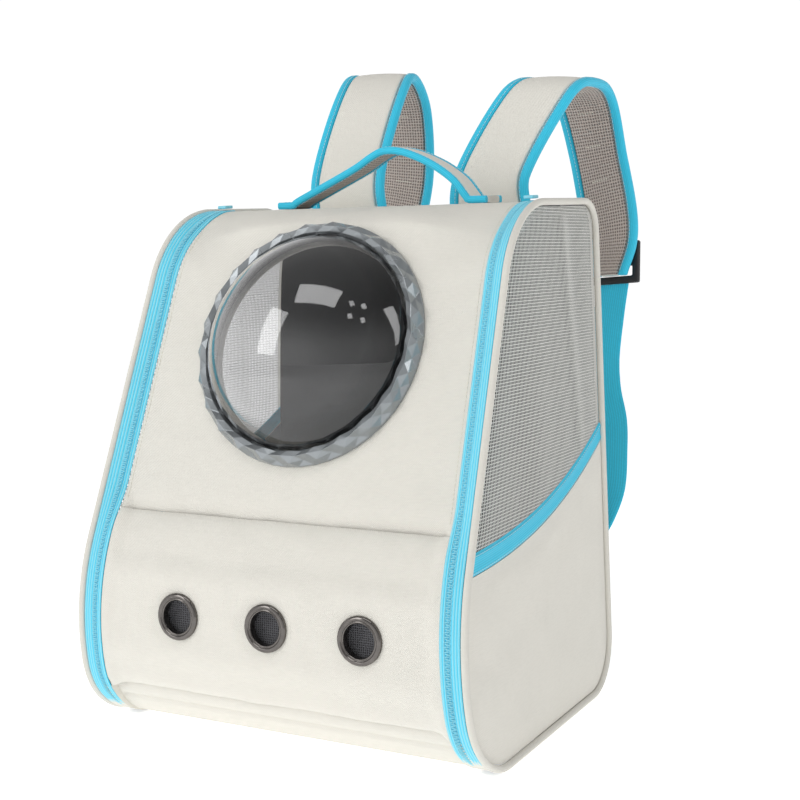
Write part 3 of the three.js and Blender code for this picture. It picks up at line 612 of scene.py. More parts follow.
def band(name, stations, steps, centre, half, thick, roll, length, crown=0.0, paint=None, across_steps=8):
    """A flat closed band along stations; stations(v) gives its middle, cross line and upper side."""
    section = band_section(across_steps)
    count = len(section) - 1

    def spot(u, v):
        across, edge, over, swell = section[round(u * count)]
        edge_roll = min(roll, half(v))
        return (
            centre(v) + across * (half(v) - edge_roll) + edge * edge_roll,
            over * thick / 2 + math.copysign(swell * crown, over),
        )

    def place(u, v):
        middle, cross, top = stations(v)
        across, over = spot(u, v)
        return middle + cross * across + top * over

    widths = [0.0]
    for i in range(count):
        a, b = spot(i / count, 0.5), spot((i + 1) / count, 0.5)
        widths.append(widths[-1] + math.hypot(b[0] - a[0], b[1] - a[1]))
    piece = lay_out(
        name, steps, count, place, lambda u, v: (widths[round(u * count)], v * length),
        paint=paint, merge=True, fill=True,
    )
    soften(piece, 60)
    return piece


def rods(name, lines, half, sides=4):
    """Thin threads along lines of points, each closed at its ends. A line is (points, side direction)."""
    mesh = bmesh.new()
    for points, side in lines:
        rings = []
        for i, point in enumerate(points):
            ahead = (points[min(i + 1, len(points) - 1)] - points[max(i - 1, 0)]).normalized()
            across = side.cross(ahead).normalized()
            over = ahead.cross(across)
            ring = []
            for k in range(sides):
                turn = 2 * math.pi * (k + 0.5) / sides
                ring.append(mesh.verts.new(
                    (point + (across * math.cos(turn) + over * math.sin(turn)) * half) * MM))
            rings.append(ring)
        for a, b in zip(rings, rings[1:]):
            for k in range(sides):
                after = (k + 1) % sides
                mesh.faces.new((a[k], a[after], b[after], b[k]))
        mesh.faces.new(list(reversed(rings[0])))
        mesh.faces.new(rings[-1])
    made = bpy.data.meshes.new(name)
    mesh.to_mesh(made)
    mesh.free()
    piece = bpy.data.objects.new(name, made)
    bpy.context.scene.collection.objects.link(piece)
    return piece


def stitches(name, rows, pitch=3.4, long=2.3, thick=0.26):
    """Rows of short stitches. A row is a list of (place, outward) points close together."""
    lines = []
    for row in rows:
        gone = [0.0]
        for (a, _), (b, _) in zip(row, row[1:]):
            gone.append(gone[-1] + (b - a).length)
        count = int(gone[-1] / pitch)
        index = 0
        for k in range(count):
            ends = []
            for place_in in ((pitch - long) / 2, pitch / 2, (pitch + long) / 2):
                wanted = k * pitch + place_in
                while index + 2 < len(gone) and gone[index + 1] < wanted:
                    index += 1
                span = gone[index + 1] - gone[index]
                share = (wanted - gone[index]) / span if span else 0
                place = row[index][0].lerp(row[index + 1][0], share)
                ends.append((place, row[index][1]))
            out = ends[1][1]
            lines.append(([
                ends[0][0] - out * 0.15,
                ends[1][0] + out * thick * 0.55,
                ends[2][0] - out * 0.15,
            ], out))
    piece = rods(name, lines, thick, sides=5)
    soften(piece, 80)
    return piece


def sew(name, rows, thread, pitch=None, long=2.3, thick=0.26):
    """Stitches along rows of places, in one colour of thread."""
    dress(stitches(name, rows, pitch or sizes().stitch_pitch / MM, long, thick), [look(thread)])


# ---------------------------------------------------------------- materials


def linear(colour):
    """Blender's colour for a colour given from 0 to 255."""
    made = []
    for value in colour:
        share = value / 255
        made.append(share / 12.92 if share <= 0.04045 else ((share + 0.055) / 1.055) ** 2.4)
    return (*made, 1.0)


class Look:
    """A material and short calls that add nodes to it."""

    def __init__(self, name, colour, roughness, metallic=0.0, **sockets):
        self.material = bpy.data.materials.new(name)
        self.material.use_nodes = True
        self.nodes = self.material.node_tree.nodes
        self.links = self.material.node_tree.links
        self.shader = self.nodes["Principled BSDF"]
        self.shader.inputs["Base Color"].default_value = colour
        self.shader.inputs["Roughness"].default_value = roughness
        self.shader.inputs["Metallic"].default_value = metallic
        for key, value in sockets.items():
            self.shader.inputs[key].default_value = value
        self.material.diffuse_color = colour

    def node(self, kind, inputs=None, **values):
        made = self.nodes.new(kind)
        for key, value in values.items():
            setattr(made, key, value)
        for key, value in (inputs or {}).items():
            if hasattr(value, "is_output"):
                self.links.new(value, made.inputs[key])
            else:
                made.inputs[key].default_value = value
        return made

    def cloth_place(self):
        return self.node("ShaderNodeUVMap", uv_map="Cloth").outputs["UV"]

    def object_place(self):
        return self.node("ShaderNodeTexCoord").outputs["Object"]

    def wave(self, place, pitch, direction):
        """Waves of one pitch in the place's own unit."""
        return self.node(
            "ShaderNodeTexWave", {"Vector": place, "Scale": math.pi / 10 / pitch},
            wave_type="BANDS", bands_direction=direction, wave_profile="SIN",
        ).outputs["Fac"]

    def grain(self, place, scale, detail=3.0, rough=0.55):
        return self.node(
            "ShaderNodeTexNoise", {"Vector": place, "Scale": scale, "Detail": detail, "Roughness": rough},
        ).outputs["Fac"]

    def math(self, operation, a, b=0.0):
        return self.node("ShaderNodeMath", {0: a, 1: b}, operation=operation).outputs[0]

    def vector_math(self, operation, a, b, output):
        return self.node("ShaderNodeVectorMath", {0: a, 1: b}, operation=operation).outputs[output]

    def between(self, value, low, high, to_low, to_high):
        return self.node(
            "ShaderNodeMapRange",
            {"Value": value, "From Min": low, "From Max": high, "To Min": to_low, "To Max": to_high},
        ).outputs["Result"]

    def blend(self, share, a, b):
        made = self.node("ShaderNodeMix", data_type="RGBA")
        self.links.new(share, made.inputs["Factor"])
        for key, value in (("A", a), ("B", b)):
            socket = [s for s in made.inputs if s.name == key and s.type == "RGBA"][0]
            if hasattr(value, "is_output"):
                self.links.new(value, socket)
            else:
                socket.default_value = value
        return [s for s in made.outputs if s.type == "RGBA"][0]

    def colour(self, output):
        self.links.new(output, self.shader.inputs["Base Color"])

    def roughness(self, output):
        self.links.new(output, self.shader.inputs["Roughness"])

    def bump(self, height, strength, distance):
        made = self.node("ShaderNodeBump", {"Height": height, "Strength": strength, "Distance": distance})
        self.links.new(made.outputs["Normal"], self.shader.inputs["Normal"])


def shade_of(colour, share):
    return (*[value * share for value in colour[:3]], 1.0)


def woven_look(name, colour, shade, pitch, depth=0.25, rough=0.8, sheen=0.1, soil=0.06):
    """Plain weave: threads cross over and under, with slight unevenness of colour."""
    finish = Look(name, colour, rough, **{"Sheen Weight": sheen, "Specular IOR Level": 0.3})
    place = finish.cloth_place()
    across = finish.math("SUBTRACT", finish.wave(place, pitch, "X"), 0.5)
    along = finish.math("SUBTRACT", finish.wave(place, pitch, "Y"), 0.5)
    check = finish.between(finish.math("MULTIPLY", across, along), -0.25, 0.25, 0.0, 1.0)
    thread = finish.grain(place, 0.9, 4.0, 0.7)
    cloud = finish.grain(finish.object_place(), 9.0, 3.0, 0.5)
    slub_place = finish.node(
        "ShaderNodeMapping", {"Vector": place, "Scale": (0.22, 1.3, 1.0)}).outputs["Vector"]
    slub = finish.grain(slub_place, 0.55, 3.0, 0.6)
    height = finish.math("ADD", check, finish.math("MULTIPLY", finish.math("ADD", thread, slub), 0.8))
    finish.bump(height, depth, 0.0006)
    woven = finish.blend(finish.between(check, 0.0, 1.0, 0.55, 0.0), colour, shade)
    aged = finish.blend(finish.between(cloud, 0.35, 0.75, 0.0, soil * 6), woven, shade_of(colour, 0.93))
    flecked = finish.blend(finish.between(slub, 0.4, 0.72, 0.0, 0.5), aged, shade_of(colour, 0.88))
    finish.colour(flecked)
    finish.roughness(finish.between(thread, 0.3, 0.7, rough - 0.06, rough + 0.1))
    return finish.material


def ribbed_look(name, colour, shade, across_pitch, along_pitch, depth=0.5, rough=0.6, sheen=0.15):
    """Tape or webbing: fine crosswise ribs between lengthwise warp lines."""
    finish = Look(name, colour, rough, **{"Sheen Weight": sheen, "Specular IOR Level": 0.35})
    place = finish.cloth_place()
    warp = finish.wave(place, across_pitch, "X")
    weft = finish.wave(place, along_pitch, "Y")
    fleck = finish.grain(place, 0.7, 3.0, 0.7)
    height = finish.math("ADD", finish.math("MULTIPLY", warp, 0.7), finish.math("MULTIPLY", weft, 0.5))
    finish.bump(finish.math("ADD", height, finish.math("MULTIPLY", fleck, 0.4)), depth, 0.0005)
    ribbed = finish.blend(finish.between(height, 0.1, 1.1, 1.0, 0.0), colour, shade)
    finish.colour(finish.blend(finish.between(fleck, 0.4, 0.8, 0.0, 0.35), ribbed, shade_of(colour, 0.86)))
    finish.roughness(finish.between(fleck, 0.3, 0.7, rough - 0.08, rough + 0.12))
    return finish.material


def spacer_look(name, colour, hole_shade, pitch):
    """Air mesh: a knitted face with rows of small round holes, every second row shifted; the holes get a
    darker colour as painted shade.
    """
    finish = Look(name, colour, 0.85, **{"Sheen Weight": 0.2})
    place = finish.cloth_place()
    cells = finish.node(
        "ShaderNodeTexVoronoi", {"Vector": place, "Scale": 1 / pitch, "Randomness": 0.12},
        feature="F1", voronoi_dimensions="2D",
    ).outputs["Distance"]
    fuzz = finish.grain(place, 1.4, 4.0, 0.7)
    round_hole = finish.between(cells, 0.22, 0.42, 1.0, 0.0)
    finish.bump(finish.math("SUBTRACT", finish.math("MULTIPLY", fuzz, 0.3), round_hole), 0.7, 0.0009)
    knit = finish.blend(finish.between(fuzz, 0.35, 0.7, 0.0, 0.5), colour, shade_of(colour, 0.72))
    # Painted shade: the holes take the darker hole colour
    finish.colour(finish.blend(round_hole, knit, hole_shade))
    return finish.material


def moulded_look(name, colour, rough, bump=0.08, coat=0.0, metallic=0.0):
    finish = Look(name, colour, rough, metallic, **{"Coat Weight": coat, "Coat Roughness": 0.12})
    place = finish.object_place()
    fine = finish.grain(place, 1600.0, 2.0)
    cloud = finish.grain(place, 35.0, 4.0)
    finish.bump(finish.math("ADD", fine, finish.math("MULTIPLY", cloud, 0.5)), bump, 0.0003)
    finish.colour(finish.blend(finish.between(cloud, 0.3, 0.7, 0.0, 0.35), colour, shade_of(colour, 0.86)))
    finish.roughness(finish.between(cloud, 0.3, 0.7, rough - 0.05, rough + 0.08))
    return finish.material


def metal_look(name, colour, rough):
    finish = Look(name, colour, rough, 1.0)
    place = finish.object_place()
    cloud = finish.grain(place, 130.0, 5.0, 0.6)
    scratch = finish.grain(finish.node(
        "ShaderNodeMapping", {"Vector": place, "Scale": (1.0, 14.0, 1.0)}).outputs["Vector"], 420.0, 2.0)
    finish.colour(finish.blend(finish.between(cloud, 0.35, 0.7, 0.0, 0.6), colour, shade_of(colour, 0.6)))
    finish.roughness(finish.between(scratch, 0.3, 0.7, rough - 0.06, rough + 0.1))
    finish.bump(scratch, 0.06, 0.0002)
    return finish.material


def thread_look(name, colour, rough=0.6):
    finish = Look(name, colour, rough, **{"Sheen Weight": 0.3})
    place = finish.object_place()
    twist = finish.grain(place, 900.0, 2.0)
    finish.colour(finish.blend(finish.between(twist, 0.3, 0.7, 0.0, 0.5), colour, shade_of(colour, 0.8)))
    finish.bump(twist, 0.3, 0.0002)
    return finish.material


def smoked_look(name, colour):
    finish = Look(name, colour, 0.015, **{
        "Transmission Weight": 1.0, "IOR": 1.48, "Coat Weight": 0.4, "Coat Roughness": 0.01,
    })
    place = finish.object_place()
    haze = finish.grain(place, 60.0, 3.0)
    finish.roughness(finish.between(haze, 0.4, 0.75, 0.01, 0.03))
    # The smoke deepens towards the rim, by the distance from the ring's axis
    seat, out = RING_FRAME.translation * MM, RING_FRAME.col[1].to_3d()
    local = finish.vector_math("SUBTRACT", place, seat, "Vector")
    along = finish.vector_math("DOT_PRODUCT", local, out, "Value")
    whole = finish.vector_math("DOT_PRODUCT", local, local, "Value")
    across = finish.math("SQRT", finish.math("SUBTRACT", whole, finish.math("MULTIPLY", along, along)))
    rim = finish.between(across, 0.8 * DOME_RADIUS * MM, 0.97 * DOME_RADIUS * MM, 0.0, 1.0)
    finish.colour(finish.blend(rim, colour, shade_of(colour, 0.32)))
    return finish.material


def zip_tape_look(name, colour, groove):
    """Zip tape: lengthwise grooves drawn by the place across, fine weft across them; the grooves are painted
    darker as painted shade.
    """
    finish = Look(name, colour, 0.5, **{"Sheen Weight": 0.15, "Specular IOR Level": 0.4})
    place = finish.cloth_place()
    lanes = finish.wave(place, ZIP_BAND / 7, "X")
    weft = finish.wave(place, 0.8, "Y")
    fleck = finish.grain(place, 1.2, 3.0)
    finish.bump(finish.math("ADD", finish.math("MULTIPLY", weft, 0.5), lanes), 0.45, 0.0004)
    # Painted shade: the grooves take the darker groove colour
    groove_shaded = finish.blend(finish.between(lanes, 0.05, 0.5, 1.0, 0.0), colour, groove)
    finish.colour(finish.blend(finish.between(fleck, 0.4, 0.8, 0.0, 0.3), groove_shaded, shade_of(colour, 0.8)))
    finish.roughness(finish.between(fleck, 0.3, 0.7, 0.42, 0.6))
    return finish.material


LOOKS = {}


def look(name):
    """Each finish is made once, from the colours in the sidebar."""
    if name not in LOOKS:
        dye = bpy.context.scene.carrier_colours
        cream, blue = (*dye.cream, 1.0), (*dye.blue, 1.0)
        zip_blue, lining = (*dye.zip_blue, 1.0), (*dye.lining, 1.0)
        makers = {
            "cream_oxford": lambda: woven_look(name, cream, shade_of(cream, 0.8), 1.6, 0.6, 0.72),
            # The sides' cream is made 2% darker: painted shade on the sides
            "cream_side_oxford": lambda: woven_look(
                name, shade_of(cream, 0.98), shade_of(cream, 0.8), 1.5, 0.5),
            "dark_lining": lambda: woven_look(name, lining, shade_of(lining, 0.6), 1.0, 0.3, 0.85),
            "cream_cord": lambda: woven_look(
                name, shade_of(cream, 0.9), shade_of(cream, 0.76), 0.9, 0.3, 0.6),
            "blue_grosgrain": lambda: ribbed_look(name, blue, shade_of(blue, 0.7), 1.6, 1.1, 0.3),
            "blue_webbing": lambda: ribbed_look(name, blue, shade_of(blue, 0.74), 2.2, 1.4, 0.4),
            # The zip's grooves take the deeper blue as painted shade
            "zip_tape": lambda: zip_tape_look(name, zip_blue, blue),
            "zip_coil": lambda: moulded_look(name, shade_of(zip_blue, 0.95), 0.35, 0.05),
            # The air mesh's second colour is painted shade in its holes
            "air_mesh": lambda: spacer_look(name, linear((196, 183, 175)), linear((112, 101, 95)), 3.0),
            "net_thread": lambda: thread_look(name, linear((228, 228, 224))),
            "white_thread": lambda: thread_look(name, linear((186, 226, 236))),
            "cream_thread": lambda: thread_look(name, linear((226, 222, 208))),
            "ring_plastic": lambda: moulded_look(name, (*dye.ring, 1.0), 0.22, 0.02, 0.3, 0.55),
            "smoked_bubble": lambda: smoked_look(name, (*dye.bubble, 1.0)),
            "black_plastic": lambda: moulded_look(name, linear((30, 30, 33)), 0.38),
            "gunmetal": lambda: metal_look(name, linear((112, 108, 105)), 0.1),
            # The vent mesh's near-black second colour is painted shade in its holes
            "vent_mesh": lambda: spacer_look(name, linear((104, 104, 108)), linear((20, 20, 22)), 1.7),
        }
        LOOKS[name] = makers[name]()
    return LOOKS[name]


# ---------------------------------------------------------------- values a user would change


class CarrierSizes(bpy.types.PropertyGroup):
    net_pitch: bpy.props.FloatProperty(
        name="Net pitch", description="Distance between the net's threads",
        default=0.0024, min=0.0016, max=0.006, subtype="DISTANCE", unit="LENGTH")
    net_thread: bpy.props.FloatProperty(
        name="Net thread", description="Thickness of the net's threads",
        default=0.00064, min=0.0002, max=0.001, subtype="DISTANCE", unit="LENGTH")
    stitch_pitch: bpy.props.FloatProperty(
        name="Stitch pitch", description="Distance from one stitch to the next",
        default=0.0034, min=0.002, max=0.008, subtype="DISTANCE", unit="LENGTH")
    tooth_pitch: bpy.props.FloatProperty(
        name="Zip tooth pitch", description="Distance from one turn of the zip's coil to the next",
        default=0.0017, min=0.0015, max=0.004, subtype="DISTANCE", unit="LENGTH")
    wrinkle: bpy.props.FloatProperty(
        name="Wrinkles", description="Height of the soft unevenness of the cloth",
        default=0.0009, min=0.0, max=0.002, subtype="DISTANCE", unit="LENGTH")


class CarrierColours(bpy.types.PropertyGroup):
    cream: bpy.props.FloatVectorProperty(
        name="Cream cloth", description="Main cloth of the body and straps",
        default=linear((233, 230, 221))[:3], min=0, max=1, size=3, subtype="COLOR")
    blue: bpy.props.FloatVectorProperty(
        name="Blue tape", description="Bindings and webbing",
        default=linear((52, 206, 240))[:3], min=0, max=1, size=3, subtype="COLOR")
    zip_blue: bpy.props.FloatVectorProperty(
        name="Zip blue", description="Zip tape and coil",
        default=linear((140, 220, 238))[:3], min=0, max=1, size=3, subtype="COLOR")
    lining: bpy.props.FloatVectorProperty(
        name="Lining", description="Inside of the body",
        default=linear((44, 44, 46))[:3], min=0, max=1, size=3, subtype="COLOR")
    ring: bpy.props.FloatVectorProperty(
        name="Ring", description="Faceted ring round the bubble",
        default=linear((146, 151, 154))[:3], min=0, max=1, size=3, subtype="COLOR")
    bubble: bpy.props.FloatVectorProperty(
        name="Bubble", description="Smoke tint of the clear bubble",
        default=(0.74, 0.74, 0.75), min=0, max=1, size=3, subtype="COLOR")


def sizes():
    return bpy.context.scene.carrier_sizes


def wrinkle(point, seed):
    height = sizes().wrinkle / MM
    return height * (ripple(point, 38, seed) + 0.4 * ripple(point, 15, seed + 3))


def pucker(along, away, seed, pitch=11.0, reach=9.0, height=0.7):
    """Small gathers that run out from a seam."""
    share = math.exp(-max(away, 0) / reach)
    return height * share * ripple((along, away * 0.3, seed), pitch, seed)


# ---------------------------------------------------------------- operators


class CARRIER_OT_front(bpy.types.Operator):
    """Sews the sloping front with its round opening and the padded lower front with three holes"""

    bl_idname = "carrier.front"
    bl_label = "Front panels"

    def execute(self, context):
        half = HALF_FRONT
        start, end = CREASE + GAP / 2, TOP_SEAM - GAP / 2

        def upper(u, v):
            x, distance = mix(-half, half, u), mix(start, end, v)
            depth = upper_depth(distance, x)
            free = smooth(RING_OUTER_RADIUS, RING_OUTER_RADIUS + 14, math.hypot(x, distance - RING_PLACE))
            edge = smooth(half, half - 10, abs(x))
            lift = wrinkle((x, distance, 0), 1.0) * free * edge
            lift += pucker(x, distance - start, 2.0) * edge
            lift += 0.5 * pucker(distance, half - abs(x), 5.0, 16.0, 5.0)
            lift -= CREASE_DIP * math.exp((start - distance) / CREASE_DIP_REACH) * edge
            return skin(x, distance, depth - lift)

        piece = lay_out("front_upper", 112, 116, upper, lambda u, v: (2 * half * u, (end - start) * v))
        face_out(piece)
        open_round(piece, RING_FRAME, WINDOW_HOLE_RADIUS)
        thicken(piece, PANEL_WALL)
        soften(piece)
        dress(piece, [look("cream_oxford"), look("dark_lining")],
              ["front_panel_upper"])

        low, high = SEAM + GAP / 2, CREASE - GAP / 2

        def lower(u, v):
            x, distance = mix(-half, half, u), mix(low, high, v)
            depth = lower_depth(distance, x)
            near = min(
                math.hypot(x - EYELET_SHIFT - k * EYELET_SPACING, distance - EYELET_PLACE)
                for k in (-1, 0, 1))
            free = smooth(EYELET_OUTER_RADIUS, EYELET_OUTER_RADIUS + 12, near)
            edge = smooth(half, half - 10, abs(x))
            lift = 1.5 * wrinkle((x, distance, 9), 4.0) * free * edge
            lift += 0.7 * pucker(x, high - distance, 7.0, 14.0, 10.0) * edge * free
            lift += 0.6 * pucker(x, distance - low, 8.0, 12.0, 6.0) * edge
            lift += 1.1 * free * math.sin(math.pi * clamp(v, 0, 1)) ** 0.7 * edge
            return skin(x, distance, depth - lift)

        piece = lay_out("front_lower", 76, 124, lower, lambda u, v: (2 * half * u, (high - low) * v))
        face_out(piece)
        for place in EYELET_FRAMES:
            open_round(piece, place, EYELET_BORE_RADIUS + 1.5)
        thicken(piece, PANEL_WALL)
        soften(piece)
        dress(piece, [look("cream_oxford"), look("dark_lining")],
              ["front_panel_lower"])
        return {"FINISHED"}


class CARRIER_OT_walls(bpy.types.Operator):
    """Sews the top, the padded back and the flat base"""

    bl_idname = "carrier.walls"
    bl_label = "Top, back and base"

    def execute(self, context):
        cloth = [look("cream_oxford"), look("dark_lining")]
        start, end = TOP_SEAM + GAP / 2, BACK_TOP_MIDDLE - GAP / 2

        def top(u, v):
            x, distance = mix(-HALF_SKIN, HALF_SKIN, u), mix(start, end, v)
            edge = smooth(HALF_SKIN, HALF_SKIN - 12, abs(x)) * smooth(0, 0.08, v) * smooth(1, 0.92, v)
            under = smooth(50, 22, abs(distance - mix(start, end, 0.55)))
            lift = wrinkle((x, distance, 3), 11.0) * edge * (1 - under)
            lift += pucker(x, distance - start, 12.0, 12.0, 6.0, 0.5)
            return skin(x, distance, EDGE_DEPTH - lift)

        piece = lay_out("top", 50, 96, top, lambda u, v: (2 * HALF_SKIN * u, (end - start) * v))
        face_out(piece)
        thicken(piece, PANEL_WALL)
        soften(piece)
        dress(piece, cloth, ["top_panel"])

        low, high = BACK_TOP_MIDDLE + GAP / 2, OUTLINE.length - GAP / 2

        def back(u, v):
            x, distance = mix(-HALF_SKIN, HALF_SKIN, u), mix(low, high, v)
            edge = smooth(HALF_SKIN, HALF_SKIN - 14, abs(x)) * smooth(0, 0.05, v) * smooth(1, 0.95, v)
            lift = -0.4 * (1 - edge) + 0.5 * wrinkle((x, distance, 6), 14.0) * edge
            return skin(x, distance, EDGE_DEPTH - min(lift, 0.0))

        piece = lay_out("back", 110, 96, back, lambda u, v: (2 * HALF_SKIN * u, (high - low) * v))
        face_out(piece)
        thicken(piece, BACK_WALL)
        soften(piece)
        dress(piece, cloth, ["back_panel"])

        first, last = GAP / 2, SEAM - GAP / 2
        # Columns at the zip's inner edge are kept, so that the corner stays sharp beside the zip
        marks = [-HALF_SKIN, -HALF_FRONT - GAP / 2, -HALF_FRONT]
        marks += [mix(-HALF_FRONT, HALF_FRONT, i / 60) for i in range(1, 60)]
        marks += [HALF_FRONT, HALF_FRONT + GAP / 2, HALF_SKIN]
        rows = 110

        def base(u, v):
            x, distance = marks[round(u * (len(marks) - 1))], mix(first, last, v)
            fold = math.exp(-((distance - (SEAM - 17)) / 2.2) ** 2)
            seam = math.exp(-max(last - distance, 0) / 2.5)
            lift = -(2.2 * fold + 2.2 * seam) + 0.8 * math.exp(-((distance - (SEAM - 9)) / 5) ** 2)
            lift = lift if abs(x) < HALF_FRONT else 0
            if distance > FRONT_START:
                lift += 0.4 * pucker(x, last - distance, 15.0, 12.0, 6.0)
            return skin(x, distance, base_depth(distance, x) - lift)

        piece = lay_out(
            "base", rows, len(marks) - 1, base,
            lambda u, v: (marks[round(u * (len(marks) - 1))], (last - first) * v))
        pick(piece)
        bpy.ops.object.mode_set(mode="EDIT")
        mesh = bmesh.from_edit_mesh(piece.data)
        gone = []
        for face in mesh.faces:
            centre = face.calc_center_median() / MM
            level = centre.z
            outer = max(abs(vertex.co.x / MM) for vertex in face.verts) + SIDE_LEAN / RIDGE_Z * level
            if outer > HALF_FRONT + 1 and centre.y < 0 and zip_starts(centre):
                gone.append(face)
        bmesh.ops.delete(mesh, geom=gone, context="FACES")
        bmesh.update_edit_mesh(piece.data)
        bpy.ops.object.mode_set(mode="OBJECT")
        face_out(piece)
        thicken(piece, PANEL_WALL)
        soften(piece)
        dress(piece, cloth, ["base_panel"])
        return {"FINISHED"}


def zip_starts(centre):
    """True past the line where the zip begins under the front."""
    along = Vector((ZIP_FOOT_WAY.y, -ZIP_FOOT_WAY.x))
    return (Vector((centre.y, centre.z)) - ZIP_FOOT).dot(along) < 0


def binding_z(y):
    along = clamp((y - KNEE_Y) / (BACK_Y - KNEE_Y), 0, 1.1)
    return BINDING_FRONT_Z + BINDING_RISE * along ** BINDING_CURVE_POWER


class SideOutline:
    """Upper and lower edge of the flat side, by the place from front to back."""

    def __init__(self, inset):
        points = []
        count = 900
        for i in range(count):
            place, normal = OUTLINE.at(OUTLINE.length * i / count)
            points.append(place - normal * inset)
        front = min(range(count), key=lambda i: points[i].x)
        turned = points[front:] + points[:front]
        rear = max(range(count), key=lambda i: turned[i].x)
        self.upper = turned[:rear + 1]
        self.lower = [turned[0]] + list(reversed(turned[rear:]))
        self.low_y = turned[0].x
        self.high_y = turned[rear].x

    @staticmethod
    def _height(line, y, pick_):
        best = None
        for a, b in zip(line, line[1:]):
            if min(a.x, b.x) <= y <= max(a.x, b.x) and abs(a.x - b.x) > 1e-9:
                z = mix(a.y, b.y, (y - a.x) / (b.x - a.x))
                best = z if best is None else pick_(best, z)
        return best if best is not None else (line[0].y if y <= line[0].x else line[-1].y)

    def top(self, y):
        return self._height(self.upper, y, max)

    def foot(self, y):
        return self._height(self.lower, y, min)


SIDE_EDGE = SideOutline(SIDE_INSET)


def meets_edge(share):
    """Where the binding meets the corded edge in front, at one place across its width."""
    y = SIDE_EDGE.low_y
    while SIDE_EDGE.top(y) < binding_z(y) + share * BINDING_WIDTH / 2:
        y += EDGE_STEP
    return y


def side_place(side, y, z, out):
    return lean_in(Vector((side * (HALF_SKIN + GAP + out), y, z)))


class CARRIER_OT_sides(bpy.types.Operator):
    """Sews the cloth part of each side and the blue binding along its upper edge"""

    bl_idname = "carrier.sides"
    bl_label = "Side panels and bindings"

    def execute(self, context):
        edge = SIDE_EDGE
        half = BINDING_WIDTH / 2
        columns, rows = 90, 44
        span = (edge.low_y + 0.02, edge.high_y - 0.02)
        shares = [0.5 - 0.5 * math.cos(math.pi * i / columns) for i in range(columns + 1)]
        ys = [mix(span[0], span[1], mix(share, i / columns, 0.4)) for i, share in enumerate(shares)]
        feet = [edge.foot(y) for y in ys]
        tops = [min(edge.top(y), binding_z(y) - half - GAP) for y in ys]
        for name, side in SIDES:
            def cloth(u, v):
                i = round(u * columns)
                z = mix(feet[i], tops[i], v)
                inner = min(smooth(0, 22, z - feet[i]), smooth(0, 16, tops[i] - z))
                inner *= smooth(0, 18, ys[i] - span[0]) * smooth(0, 18, span[1] - ys[i])
                puff = 1.6 * inner + 1.6 * wrinkle((ys[i], z, 2 * side), 21.0 + side) * inner
                return side_place(side, ys[i], z, SIDE_WALL + puff)

            def measure(u, v):
                i = round(u * columns)
                return ys[i], mix(feet[i], tops[i], v)

            piece = lay_out(f"side_cloth_{name}", rows, columns, cloth, measure)
            face_out(piece, Vector((side, 0, 0)))
            thicken(piece, SIDE_WALL)
            soften(piece)
            # The side cloth takes the cream painted slightly darker, as painted shade
            dress(piece, [look("cream_side_oxford"), look("dark_lining")],
                  [f"side_panel_{name}"])
            self.binding(name, side)
        return {"FINISHED"}

    def binding(self, name, side):
        half = BINDING_WIDTH / 2
        back = SIDE_EDGE.high_y - 0.1
        starts = [meets_edge(mix(-1, 1, i / BINDING_LANES)) for i in range(BINDING_LANES + 1)]
        rise = [0.0, 0.9, 1.25, 1.0, 0.75, 0.7, 0.75, 1.0, 1.25, 0.9, 0.0]

        def tape(u, v):
            z_share = mix(-1, 1, u)
            lane = round(u * BINDING_LANES)
            y = mix(starts[lane] + 0.1, back, v)
            z = binding_z(y) + z_share * half
            out = SIDE_WALL - 0.5 + rise[lane] + 0.12 * ripple((y, z, 0), 12, 30)
            return side_place(side, y, z, out)

        length = (back - starts[BINDING_LANES // 2]) * 1.03
        piece = lay_out(
            f"side_tape_{name}", BINDING_STEPS, BINDING_LANES, tape,
            lambda u, v: (BINDING_WIDTH * u, length * v))
        face_out(piece, Vector((side, 0, 0)))
        thicken(piece, SIDE_WALL - 0.4, lining=False)
        soften(piece)
        dress(piece, [look("blue_grosgrain")], [f"side_binding_{name}"])
        rows = []
        for share in (-0.74, 0.74):
            row = []
            for i in range(BINDING_STEPS + 1):
                y = mix(meets_edge(share) + 1.5, back - 1, i / BINDING_STEPS)
                z = binding_z(y) + share * half
                row.append((side_place(side, y, z, SIDE_WALL + 0.62), Vector((side, 0, 0))))
            rows.append(row)
        sew(f"side_tape_stitches_{name}", rows, "white_thread")


